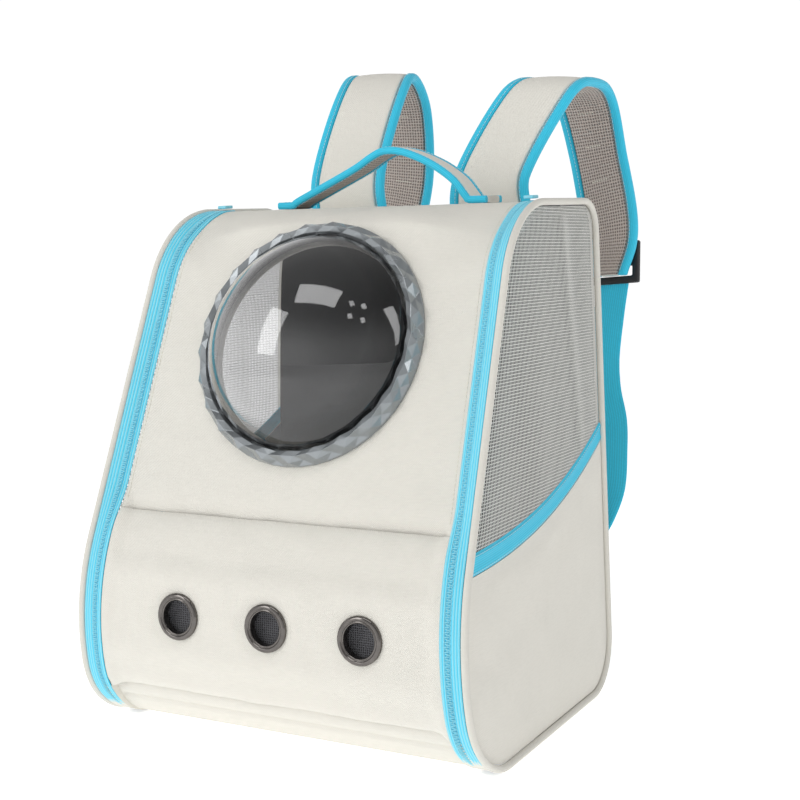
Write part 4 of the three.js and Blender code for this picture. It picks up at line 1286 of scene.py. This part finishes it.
class CARRIER_OT_nets(bpy.types.Operator):
    """Hangs the net windows, thread by thread, in the upper part of each side"""

    bl_idname = "carrier.nets"
    bl_label = "Net windows"

    def execute(self, context):
        edge = SIDE_EDGE
        half = BINDING_WIDTH / 2
        pitch = sizes().net_pitch / MM
        step = 9.0
        front, back = meets_edge(1), edge.high_y
        low = lambda y: binding_z(y) + half - 1.0
        high = lambda y: edge.top(y) - 0.3
        fine = [mix(front, back, i / 600) for i in range(601)]
        band_ = [(y, low(y), high(y)) for y in fine]

        def front_at(z):
            return next((y for y, _, top in band_[::4] if top >= z), front)

        for name, side in SIDES:
            def place(y, z, out):
                folds = 1.1 * ripple((y, z * 0.3, side * 3), 46, 40 + side)
                folds += 0.9 * math.exp(-((y - mix(back, front, 0.22) + (z - 300) * 0.12) / 11) ** 2)
                folds -= 3.2 * math.exp(-(y - front_at(z)) / 9)
                hold = min(smooth(0, 14, z - low(y)), smooth(0, 14, high(y) - z), smooth(0, 12, back - y))
                return side_place(side, y, z, SIDE_WALL / 2 + out + folds * hold)

            outward = Vector((side, 0, 0))
            lines = []
            y = front + pitch
            while y < back - 0.3:
                bottom, top = low(y), high(y)
                if top - bottom > 2:
                    count = max(2, math.ceil((top - bottom) / step))
                    lines.append((
                        [place(y, mix(bottom, top, i / count), 0.12) for i in range(count + 1)], outward))
                y += pitch
            z = BINDING_FRONT_Z
            while z < RIDGE_Z + 10:
                inside = [y for y, bottom, top in band_ if bottom <= z <= top]
                if inside and inside[-1] - inside[0] > 3:
                    count = max(2, math.ceil((inside[-1] - inside[0]) / step))
                    lines.append((
                        [place(mix(inside[0], inside[-1], i / count), z, -0.12) for i in range(count + 1)],
                        outward))
                z += pitch
            thread = sizes().net_thread / MM
            piece = rods(f"net_{name}", lines, thread / 2)
            dress(piece, [look("net_thread")], [f"mesh_window_{name}"])
        return {"FINISHED"}


class CARRIER_OT_piping(bpy.types.Operator):
    """Lays the corded edge round each side"""

    bl_idname = "carrier.piping"
    bl_label = "Piping"

    def execute(self, context):
        for name, side in SIDES:
            def cord(u, v):
                turn = 2 * math.pi * u
                distance = OUTLINE.length * v
                return skin(
                    side * (PIPING_X + PIPING_RADIUS * math.cos(turn)), distance,
                    PIPING_RADIUS * (1 - math.sin(turn)))

            piece = lay_out(
                f"edge_cord_{name}", 420, 12, cord,
                lambda u, v: (2 * math.pi * PIPING_RADIUS * u, OUTLINE.length * v), merge=True)
            soften(piece, 80)
            dress(piece, [look("cream_cord")], [f"piping_{name}"])
        return {"FINISHED"}


class CARRIER_OT_zips(bpy.types.Operator):
    """Lays the zip down each front edge: ribbed tapes, a toothed coil and its slider"""

    bl_idname = "carrier.zips"
    bl_label = "Zips"

    def execute(self, context):
        start, end = ZIP_START, TOP_SEAM - GAP / 2
        length = end - start
        columns = 42
        for name, side in SIDES:
            def tape(u, v):
                x = mix(HALF_FRONT + GAP, HALF_SKIN, u)
                distance = mix(start, end, v)
                ridge = 0.42 * (0.5 - 0.5 * math.cos(2 * math.pi * 7 * u))
                valley = smooth(COIL_INNER_X - 0.6, COIL_INNER_X + 0.4, x)
                valley *= smooth(COIL_OUTER_X + 0.6, COIL_OUTER_X - 0.4, x)
                lift = ridge * (1 - valley) - 0.1 * valley + 0.5 * (1 - valley)
                return skin(side * x, distance, zip_depth(distance, x) - lift)

            piece = lay_out(
                f"zip_tapes_{name}", 280, columns, tape, lambda u, v: (ZIP_BAND * u, length * v))
            face_out(piece)
            thicken(piece, 1.1, lining=False)
            soften(piece, 60)
            dress(piece, [look("zip_tape")], [f"zip_tape_{name}"])
            self.coil(name, side, start, end)
            slider = copy_of_node(f"zip_slider_{name}", f"slider_{name}", 0.7)
            dress(slider, [look("zip_coil")], [f"zip_slider_{name}"])
        return {"FINISHED"}

    def coil(self, name, side, start, end):
        pitch = sizes().tooth_pitch / MM
        count = int((end - start) / pitch)
        middle_x = (COIL_INNER_X + COIL_OUTER_X) / 2
        lines = []
        for k in range(count):
            distance = start + (k + 0.5) * pitch
            way = 1 if k % 2 else -1
            depth = zip_depth(distance, middle_x) - GAP - ZIP_COIL_HEIGHT * 0.1
            points = []
            for share in (-1, -0.45, 0.35, 0.62):
                x = middle_x + way * -share * ZIP_COIL_WIDTH / 2
                bow = 0.3 * (1 - share * share)
                points.append(skin(side * x, distance + 0.25 * pitch * share, depth - bow))
            _, normal = OUTLINE.at(distance)
            lines.append((points, Vector((0, normal.x, normal.y))))
        piece = rods(f"zip_teeth_{name}", lines, 0.46, sides=5)
        soften(piece, 80)
        dress(piece, [look("zip_coil")], [f"zip_coil_{name}"])


class CARRIER_OT_bubble(bpy.types.Operator):
    """Blows the clear bubble, dresses its faceted ring and sets the small catch"""

    bl_idname = "carrier.bubble"
    bl_label = "Bubble, ring and catch"

    def execute(self, context):
        ball = (DOME_RADIUS ** 2 + DOME_RISE ** 2) / (2 * DOME_RISE)
        centre = GAP + DOME_RIM + DOME_RISE - ball
        reach = math.asin(DOME_RADIUS / ball)
        inner_ball = ball - DOME_WALL
        inner_reach = math.asin((DOME_RADIUS - DOME_WALL) / inner_ball)
        count = 26

        def arc(radius, reach, i):
            return radius * math.sin(reach * i / count), centre + radius * math.cos(reach * i / count)

        outer = [arc(ball, reach, i) for i in range(count + 1)]
        outer[0] = (0, outer[0][1])
        inner = [arc(inner_ball, inner_reach, i) for i in range(count, -1, -1)]
        inner[-1] = (0, inner[-1][1])
        outer[-1] = (DOME_RADIUS, outer[-1][1] - 0.6)
        rim = [
            (DOME_RADIUS, GAP + 5), (DOME_RADIUS, GAP + 0.4), (DOME_RADIUS - 0.5, GAP),
            (DOME_RADIUS - DOME_WALL + 0.5, GAP), (DOME_RADIUS - DOME_WALL, GAP + 0.4),
        ]
        piece = spun("bubble", outer + rim + inner, RING_FRAME, 120)
        self.slot(piece)
        dress(piece, [look("smoked_bubble")], ["bubble_dome"])
        catch = copy_of_node("bubble_catch", "catch", 1.2)
        dress(catch, [look("black_plastic")], ["bubble_catch"])
        self.ring()
        return {"FINISHED"}

    def slot(self, piece):
        """Cuts the slot in the bubble's rim that the catch sits in."""
        clear_selection()
        bpy.ops.mesh.primitive_cube_add(size=1, location=(0, 0, 0))
        block = bpy.context.object
        place = RING_FRAME.copy()
        place.translation = RING_FRAME @ Vector((CATCH_X, DOME_RIM + CATCH_SLOT_UP, CATCH_ACROSS))
        to = Matrix.Scale(MM, 4) @ place @ Matrix.Diagonal((*CATCH_SLOT, 1))
        block.data.transform(to)
        apply_modifier(piece, "BOOLEAN", operation="DIFFERENCE", object=block, solver="EXACT")
        bpy.data.objects.remove(block)
        soften(piece, 50)

    def ring(self):
        """Rows of corners stand half a step apart, and every second corner is sunk, as cut facets."""
        bore = DOME_RADIUS + GAP
        rows = (
            (0.0, 0.0, 0, 0), (1.0, 0.0, 0, 0), (0.99, 0.2, 0, 0), (0.86, 0.66, 0.5, 0.5),
            (0.48, 1.0, 0, 0.3), (0.12, 0.86, 0.5, 0.4), (0.0, 0.56, 0, 0), (0.0, 0.0, 0, 0),
        )
        count = RING_FACETS

        def place(u, v):
            across, up, turn, sunk = rows[round(v * (len(rows) - 1))]
            i = round(u * count)
            angle = 2 * math.pi * (i + turn) / count
            low = sunk * (4.2 if i % 2 else -0.6)
            radius = mix(bore, RING_OUTER_RADIUS, across) - (low if across > 0.5 else -0.3 * low)
            height = GAP + up * RING_HEIGHT - low
            return RING_FRAME @ Vector((radius * math.sin(angle), max(height, GAP), radius * math.cos(angle)))

        piece = lay_out("ring", len(rows) - 1, count, place, lambda u, v: (600 * u, 30 * v), merge=True)
        apply_modifier(piece, "TRIANGULATE", quad_method="SHORTEST_DIAGONAL")
        apply_modifier(piece, "BEVEL", width=0.22 * MM, segments=1, limit_method="ANGLE",
                       angle_limit=math.radians(8))
        dress(piece, [look("ring_plastic")], ["bubble_ring"])


class CARRIER_OT_eyelets(bpy.types.Operator):
    """Presses the three rolled eyelets, each with a vent mesh behind it"""

    bl_idname = "carrier.eyelets"
    bl_label = "Eyelets"

    def execute(self, context):
        behind = -PANEL_WALL - GAP
        barrel = EYELET_BORE_RADIUS + 1.2
        flange = mix(EYELET_BORE_RADIUS, EYELET_OUTER_RADIUS, 0.7)
        profile = [(EYELET_BORE_RADIUS, behind - 1)]
        middle = (EYELET_BORE_RADIUS + EYELET_OUTER_RADIUS) / 2
        half = (EYELET_OUTER_RADIUS - EYELET_BORE_RADIUS) / 2
        for i in range(29):
            turn = math.pi * (1 - i / 28)
            swell = abs(math.sin(turn)) ** 0.8
            groove = 0.9 * math.exp(-((turn / math.pi - 0.62) / 0.07) ** 2)
            profile.append((middle + half * math.cos(turn), 0.9 + (EYELET_ROLL - 0.9) * swell - groove))
        profile += [
            (EYELET_OUTER_RADIUS, GAP), (barrel, GAP), (barrel, behind),
            (flange, behind), (flange, behind - 1),
        ]
        for i, place in enumerate(EYELET_FRAMES, 1):
            piece = spun(f"rim_{i}", profile, place, 64)
            dress(piece, [look("gunmetal")], [f"eyelet_{i}"])
            self.vent(i, place)
        return {"FINISHED"}

    def vent(self, number, place):
        radius = EYELET_BORE_RADIUS + 4

        def disc(u, v):
            turn, reach = 2 * math.pi * u, radius * v
            sag = 2.2 * (1 - v * v)
            return place @ Vector((reach * math.cos(turn), -PANEL_WALL - 4.2 - sag, reach * math.sin(turn)))

        piece = lay_out(
            f"vent_{number}", 10, 40, disc,
            lambda u, v: (radius * v * math.cos(2 * math.pi * u), radius * v * math.sin(2 * math.pi * u)),
            merge=True)
        out = place.to_3x3() @ Vector((0, 1, 0))
        face_out(piece, out)
        thicken(piece, 0.6, lining=False)
        soften(piece)
        dress(piece, [look("vent_mesh")])


HANDLE_ROWS = (
    (-1.18, 0), (-1.02, 0), (-0.96, 0.07), (-0.71, 0.29), (-0.28, 0.67), (-0.08, 0.89), (0.06, 1),
    (0.22, 0.99), (0.38, 0.9), (0.61, 0.69), (0.82, 0.4), (0.95, 0.09), (1, 0), (1.18, 0),
)


class CARRIER_OT_handle(bpy.types.Operator):
    """Makes the carrying handle: a padded band with bound edges and a mesh under side"""

    bl_idname = "carrier.handle"
    bl_label = "Handle"

    def execute(self, context):
        seat = OUTLINE.where(RIDGE_END, BACK_TOP_MIDDLE, HANDLE_Y, 0)
        lift = HANDLE_THICKNESS / 2 + BINDING_FOLD + GAP - EDGE_DEPTH
        route = Route([
            Vector((across * HANDLE_SPAN / 2, lift + up * HANDLE_RISE, 0)) for across, up in HANDLE_ROWS
        ])
        place, normal = OUTLINE.at(seat)
        along = Vector((normal.y, -normal.x))

        def stations(v):
            t = route.t_of(v)
            spot, ahead = route.at(t), route.ahead(t)
            over = Vector((-ahead.y, ahead.x))
            lower = max(spot.y, lift)
            middle = Vector((spot.x, place.x + normal.x * lower, place.y + normal.y * lower))
            top = Vector((over.x, normal.x * over.y, normal.y * over.y))
            return middle, Vector((0, along.x, along.y)), top

        half = HANDLE_WIDTH / 2
        edge = half - HANDLE_BINDING
        under = lambda u, v: 1 if 0.06 < v < 0.94 and (u < 0.3 or u > 0.7) else 0
        piece = band("handle_band", stations, 90, lambda v: 0, lambda v: edge - GAP, HANDLE_THICKNESS, 0.8,
                     route.length, 0.5, under, 10)
        dress(piece, [look("cream_oxford"), look("air_mesh")], ["handle"])
        folded = HANDLE_THICKNESS + 2 * BINDING_FOLD
        for name, way in (("front", -1), ("rear", 1)):
            piece = band(
                f"handle_edge_{name}", stations, 90, lambda v, w=way: w * (half - HANDLE_BINDING / 2),
                lambda v: HANDLE_BINDING / 2, folded, 2.2, route.length, 0.0, None, 4)
            dress(piece, [look("blue_grosgrain")], [f"handle_binding_{name}"])
        rows = []
        for way in (-1, 1):
            for face in (-1, 1):
                row = []
                for i in range(141):
                    middle, cross, over = stations(mix(0.02, 0.98, i / 140))
                    out = over * face
                    row.append((middle + cross * way * (edge + 1.1) + out * (folded / 2 + 0.02), out))
                rows.append(row)
        sew("handle_stitches", rows, "white_thread")
        return {"FINISHED"}


# Middle line of each strap: back, up and out are shares of the reach, the rise and the spread; wide
# is a share of the width; turn and lean are the slopes of the cross line
STRAP_ROWS = {
    "left": (140, (
        (0, -0.18, 0.2, 1, 0, 0),
        (0, 0, 0.2, 1, 0, 0.02),
        (0.022, 0.304, 0.28, 0.97, -0.01, 0.04),
        (0.28, 0.8, 0.26, 0.93, -0.05, 0.05),
        (0.592, 1, 0.42, 0.89, -0.05, 0.03),
        (0.875, 0.809, 0.51, 0.85, -0.03, 0.02),
        (1, 0.348, 0.62, 0.8, -0.03, 0.02),
        (0.965, -0.08, 0.83, 0.76, -0.02, 0.01),
        (0.93, -0.33, 0.88, 0.46, -0.02, 0.01),
    )),
    "right": (124, (
        (0.006, -0.2, -0.28, 1, 0, 0),
        (0.006, 0, -0.28, 1, 0, 0.02),
        (0.03, 0.333, -0.26, 0.96, -0.06, 0.08),
        (0.286, 0.89, 0.28, 0.92, -0.06, -0.06),
        (0.6, 0.997, 0.43, 0.88, -0.05, -0.07),
        (0.875, 0.9, 0.49, 0.83, -0.09, -0.08),
        (1, 0.467, 0.63, 0.78, -0.16, -0.11),
        (0.99, -0.08, 0.88, 0.74, -0.16, -0.11),
        (0.94, -0.42, 0.92, 0.46, -0.16, -0.11),
    )),
}
BACK_FACE = BACK_Y - EDGE_DEPTH
STRAP_SEAT = BACK_FACE + GAP + STRAP_THICKNESS / 2 + BINDING_FOLD


class StrapLine:
    def __init__(self, name, side):
        rise, rows = STRAP_ROWS[name]
        self.side = side
        self.middle = Route([
            Vector((STRAP_X + out * STRAP_SPREAD, STRAP_SEAT + back * STRAP_REACH, STRAP_Z + up * rise))
            for back, up, out, *_ in rows
        ])
        self.cross = Route([Vector((1, row[4], row[5])) for row in rows])
        self.wide = Route([Vector((row[3], 0, 0)) for row in rows])
        self.length = self.middle.length

    def mirror(self, vector):
        return Vector((self.side * vector.x, vector.y, vector.z))

    def at(self, v):
        t = self.middle.t_of(clamp(v, 0, 1))
        cross = self.cross.at(t).normalized()
        ahead = self.middle.ahead(clamp(t, 2e-4, 1 - 2e-4))
        cross = (cross - ahead * cross.dot(ahead)).normalized()
        over = ahead.cross(cross).normalized()
        return self.mirror(self.middle.at(t)), self.mirror(cross), self.mirror(over)

    def half(self, v):
        return self.wide.at(self.middle.t_of(clamp(v, 0, 1))).x * STRAP_WIDTH / 2


class CARRIER_OT_straps(bpy.types.Operator):
    """Makes the padded shoulder straps with bound edges, an air mesh inner face and stitched lines"""

    bl_idname = "carrier.straps"
    bl_label = "Shoulder straps"

    def execute(self, context):
        folded = STRAP_THICKNESS + 2 * BINDING_FOLD
        for name, side in SIDES:
            line = StrapLine(name, side)
            inner_face = lambda u, v: 1 if 0.27 < u < 0.73 else 0
            pad_half = lambda v: line.half(v) - STRAP_BINDING - 1.6 * GAP
            piece = band(f"strap_{name}", line.at, 120, lambda v: 0, pad_half, STRAP_THICKNESS, 1.0,
                         line.length, 1.2, inner_face, 16)
            dress(piece, [look("cream_oxford"), look("air_mesh")],
                  [f"strap_pad_{name}"])
            stitch_rows = []
            for part, way in (("inner", -1), ("outer", 1)):
                def middle(v, w=way):
                    return w * (line.half(v) - STRAP_BINDING / 2)

                piece = band(f"strap_edge_{part}_{name}", line.at, 150, middle, lambda v: STRAP_BINDING / 2,
                             folded, 3.4, line.length, 0.0, None, 6)
                dress(piece, [look("blue_grosgrain")], [f"strap_binding_{part}_{name}"])
                for face in (-1, 1):
                    row = []
                    for i in range(221):
                        v = mix(0.005, 0.995, i / 220)
                        spot, cross, over = line.at(v)
                        across = way * (line.half(v) - STRAP_BINDING + 2.1)
                        row.append((spot + cross * across + over * face * (folded / 2 + 0.02), over * face))
                    stitch_rows.append(row)
            sew(f"strap_stitches_{name}", stitch_rows, "white_thread")
            bars = []
            for v in (0.3, 0.38, 0.46, 0.54, 0.62, 0.7, 0.78):
                spot, cross, over = line.at(v)
                reach = 0.42 * pad_half(v)
                row = [
                    (spot + cross * mix(-reach, reach, i / 24) + over * (STRAP_THICKNESS / 2 + 1.0), over)
                    for i in range(25)
                ]
                bars.append(row)
            sew(f"strap_bars_{name}", bars, "cream_thread", 2.4, 1.9, 0.4)
        return {"FINISHED"}


WEBBING_ROWS = (
    (0, 0, 0), (0.13, 0.02, 0.1), (0.3, 0.12, 0.24), (0.42, 0.4, 0.36), (0.54, 0.85, 0.475),
    (0.65, 1.13, 0.61), (0.77, 1.37, 0.77), (0.86, 1.3, 0.9), (0.93, 1.04, 0.975),
    (0.97, 1, 0.997), (1, 1, 0.997),
)


class CARRIER_OT_webbing(bpy.types.Operator):
    """Threads the webbing from each buckle down to its seam on the back"""

    bl_idname = "carrier.webbing"
    bl_label = "Webbing and buckles"

    def execute(self, context):
        for name, side in SIDES:
            line = StrapLine(name, side)
            end, cross, over = line.at(1.0)
            right = cross * math.copysign(1, cross.x)
            out = over * math.copysign(1, over.y)
            up = right.cross(out).normalized()
            lift = (STRAP_THICKNESS + BUCKLE_THICKNESS) / 2 + BINDING_FOLD + 4 * GAP
            middle = end + out * lift + up * (BUCKLE_HEIGHT / 2 - BUCKLE_BAR)
            start = middle - up * (BUCKLE_HEIGHT / 2 + GAP)
            seat = BACK_FACE + GAP + WEBBING_THICKNESS / 2
            corner = lean_in(Vector((HALF_SKIN, 0, WEBBING_FOOT_Z + WEBBING_SEAT)))
            foot_x = corner.x - GAP - WEBBING_WIDTH / 2
            drop = start.z - WEBBING_FOOT_Z
            route = Route([
                Vector((mix(start.x, side * foot_x, across), mix(start.y, seat, in_), start.z - down * drop))
                for down, across, in_ in WEBBING_ROWS
            ])

            def stations(v, route=route, right=right, up=up):
                t = route.t_of(v)
                ahead = route.ahead(clamp(t, 2e-4, 1 - 2e-4))
                if v < 1e-6:
                    ahead = -up
                if v > 1 - 1e-6:
                    ahead = Vector((0, 0, -1))
                cross_ = right.lerp(Vector((1, 0, 0)), v)
                cross_ = (cross_ - ahead * cross_.dot(ahead)).normalized()
                return route.at(t), cross_, ahead.cross(cross_)

            piece = band(f"web_{name}", stations, 110, lambda v: 0, lambda v: WEBBING_WIDTH / 2,
                         WEBBING_THICKNESS, 0.9, route.length, 0.0, None, 10)
            dress(piece, [look("blue_webbing")], [f"webbing_{name}"])
            lock = copy_of_node(f"buckle_{name}", f"ladder_lock_{name}", 1.6)
            dress(lock, [look("black_plastic")], [f"buckle_{name}"])
            spots = []
            for height in (4, 40):
                row = []
                for i in range(41):
                    x = side * foot_x + mix(-13, 13, i / 40)
                    z = WEBBING_FOOT_Z + height * 0.28 + 2
                    row.append((Vector((x, seat + WEBBING_THICKNESS / 2 + 0.02, z)), Vector((0, 1, 0))))
                spots.append(row)
            sew(f"web_stitches_{name}", spots, "white_thread", 2.6, 2.0)
        return {"FINISHED"}


class CARRIER_OT_seams(bpy.types.Operator):
    """Stitches the lines beside the seams of the body"""

    bl_idname = "carrier.seams"
    bl_label = "Body seams"

    def execute(self, context):
        rows = []
        steps = 150
        for side in (-1, 1):
            x = side * (HALF_FRONT - 3)
            row = []
            for i in range(steps + 1):
                distance = mix(CREASE + 8, TOP_SEAM - 6, i / steps)
                _, normal = OUTLINE.at(distance)
                place = skin(x, distance, upper_depth(distance, x) - 0.1)
                row.append((place, Vector((0, normal.x, normal.y))))
            rows.append(row)
        sew("front_stitches", rows, "cream_thread", thick=0.28)
        return {"FINISHED"}


# The camera fitted to the photograph: its place, the way it looks and its upper side
CAMERA_PLACE = Vector((561.2, -961.1, 373.4))
CAMERA_AHEAD = Vector((-0.46626, 0.87832, -0.10564))
CAMERA_UP = Vector((-0.03617, 0.10039, 0.99429))
FOCUS = 1394.98
FRAME = 800
FLOOR_GLOW = 0.56
BUBBLE_LIGHT = 3.2
RIM_LIGHT = 3.5


def pixel_ray(x, y):
    right = CAMERA_AHEAD.cross(CAMERA_UP).normalized()
    return (CAMERA_AHEAD * FOCUS + right * (x - FRAME / 2) - CAMERA_UP * (y - FRAME / 2)).normalized()


def bubble_light(name, x, y, wide, tall, away, brightness):
    """A softbox that shows in the bubble at a place of the picture."""
    ball = (DOME_RADIUS ** 2 + DOME_RISE ** 2) / (2 * DOME_RISE)
    centre = RING_FRAME @ Vector((0, GAP + DOME_RIM + DOME_RISE - ball, 0))
    ray = pixel_ray(x, y)
    offset = CAMERA_PLACE - centre
    half = ray.dot(offset)
    inside = half * half - (offset.length_squared - ball * ball)
    hit = CAMERA_PLACE + ray * (-half - math.sqrt(max(inside, 0)))
    normal = (hit - centre).normalized()
    way = ray - 2 * ray.dot(normal) * normal
    softbox(name, hit * MM + way * away, -way, wide, tall, brightness)


def softbox(name, place, way, wide, tall, brightness):
    light = bpy.data.lights.new(name, "AREA")
    light.shape = "RECTANGLE"
    light.size, light.size_y = wide, tall
    light.energy = brightness * math.pi * wide * tall
    holder = bpy.data.objects.new(name, light)
    holder.location = place
    holder.rotation_mode = "QUATERNION"
    holder.rotation_quaternion = way.to_track_quat("-Z", "Y")
    bpy.context.scene.collection.objects.link(holder)


class CARRIER_OT_stage(bpy.types.Operator):
    """Sets the pale floor, the soft lights and the camera"""

    bl_idname = "carrier.stage"
    bl_label = "Stage"

    def execute(self, context):
        scene = context.scene
        clear_selection()
        bpy.ops.mesh.primitive_plane_add(size=30, location=(0, 0, -0.0005))
        floor = context.object
        floor.name = floor.data.name = "floor"
        paper = Look("pale_floor", (0.95, 0.95, 0.95, 1), 0.7)
        cloud = paper.grain(paper.object_place(), 0.6)
        paper.colour(paper.blend(cloud, (0.955, 0.955, 0.955, 1), (0.935, 0.937, 0.94, 1)))
        paper.shader.inputs["Emission Color"].default_value = (1, 1, 1, 1)
        paper.shader.inputs["Emission Strength"].default_value = FLOOR_GLOW
        floor.data.materials.append(paper.material)
        floor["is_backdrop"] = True

        world = scene.world or bpy.data.worlds.new("studio")
        scene.world = world
        world.use_nodes = True
        nodes, links = world.node_tree.nodes, world.node_tree.links
        sky = nodes.get("Background")
        sky.inputs["Color"].default_value = (1.0, 1.0, 1.0, 1)
        # The studio is white behind, and dimmer in front, overhead and on the right
        way = nodes.new("ShaderNodeSeparateXYZ")
        links.new(nodes.new("ShaderNodeTexCoord").outputs["Generated"], way.inputs["Vector"])
        strength = None
        for axis, start, end, low, high in (
            ("X", -0.2, 0.8, 1.0, 0.6), ("Y", -0.5, 0.1, 1.12, 1.0), ("Z", 0.15, 0.75, 1.04, 0.36),
        ):
            dim = nodes.new("ShaderNodeMapRange")
            dim.interpolation_type = "SMOOTHSTEP"
            for key, value in (("From Min", start), ("From Max", end), ("To Min", low), ("To Max", high)):
                dim.inputs[key].default_value = value
            links.new(way.outputs[axis], dim.inputs["Value"])
            if strength is None:
                strength = dim.outputs["Result"]
                continue
            product = nodes.new("ShaderNodeMath")
            product.operation = "MULTIPLY"
            links.new(strength, product.inputs[0])
            links.new(dim.outputs["Result"], product.inputs[1])
            strength = product.outputs[0]
        links.new(strength, sky.inputs["Strength"])

        bubble_light("top_softbox", 318, 294, 0.95, 0.5, 1.5, BUBBLE_LIGHT)
        bubble_light("left_softbox", 270, 331, 0.5, 1.0, 1.5, BUBBLE_LIGHT)
        for i, (x, y) in enumerate(((352, 303), (364, 306), (350, 316), (363, 320))):
            bubble_light(f"right_lamp_{i + 1}", x, y, 0.12, 0.14, 1.7, BUBBLE_LIGHT)
        aim = Vector((0.05, 0.1, -0.1))
        softbox("rim_light", Vector((1.5, 0.1, 1.0)), Vector((-1.5, -0.1, -0.75)) + aim, 0.3, 0.9, RIM_LIGHT)

        camera = bpy.data.cameras.new("camera")
        camera.sensor_width = 36
        camera.lens = 36 * FOCUS / FRAME
        camera.dof.use_dof = False
        camera.clip_start, camera.clip_end = 0.05, 60
        holder = bpy.data.objects.new("camera", camera)
        right = CAMERA_AHEAD.cross(CAMERA_UP).normalized()
        turned = Matrix((right, CAMERA_UP, -CAMERA_AHEAD)).transposed().to_4x4()
        turned.translation = CAMERA_PLACE * MM
        holder.matrix_world = turned
        scene.collection.objects.link(holder)
        scene.camera = holder
        scene.view_settings.view_transform = "Standard"
        return {"FINISHED"}


OPERATORS = (
    CARRIER_OT_front,
    CARRIER_OT_walls,
    CARRIER_OT_sides,
    CARRIER_OT_nets,
    CARRIER_OT_piping,
    CARRIER_OT_zips,
    CARRIER_OT_bubble,
    CARRIER_OT_eyelets,
    CARRIER_OT_handle,
    CARRIER_OT_straps,
    CARRIER_OT_webbing,
    CARRIER_OT_seams,
    CARRIER_OT_stage,
)


class CARRIER_PT_panel(bpy.types.Panel):
    """Lists the carrier's pieces, sizes and colours"""

    bl_idname = "CARRIER_PT_panel"
    bl_label = "Pet carrier"
    bl_space_type = "VIEW_3D"
    bl_region_type = "UI"
    bl_category = "Carrier"

    def draw(self, context):
        layout = self.layout
        for group in (context.scene.carrier_sizes, context.scene.carrier_colours):
            box = layout.box()
            for key in group.__annotations__:
                box.prop(group, key)
        for operator in OPERATORS:
            layout.operator(operator.bl_idname)


CLASSES = (CarrierSizes, CarrierColours, *OPERATORS, CARRIER_PT_panel)


def register():
    for each in CLASSES:
        bpy.utils.register_class(each)
    bpy.types.Scene.carrier_sizes = bpy.props.PointerProperty(type=CarrierSizes)
    bpy.types.Scene.carrier_colours = bpy.props.PointerProperty(type=CarrierColours)


def unregister():
    del bpy.types.Scene.carrier_colours
    del bpy.types.Scene.carrier_sizes
    for each in reversed(CLASSES):
        bpy.utils.unregister_class(each)


def main():
    register()
    for operator in OPERATORS:
        group, name = operator.bl_idname.split(".")
        getattr(getattr(bpy.ops, group), name)()
    clear_selection()
    low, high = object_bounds()
    sizes_made = {
        "cad": [list(CAD_BOX[0]), list(CAD_BOX[1])],
        "visual": [list(low), list(high)],
    }


if __name__ == "__main__":
    main()
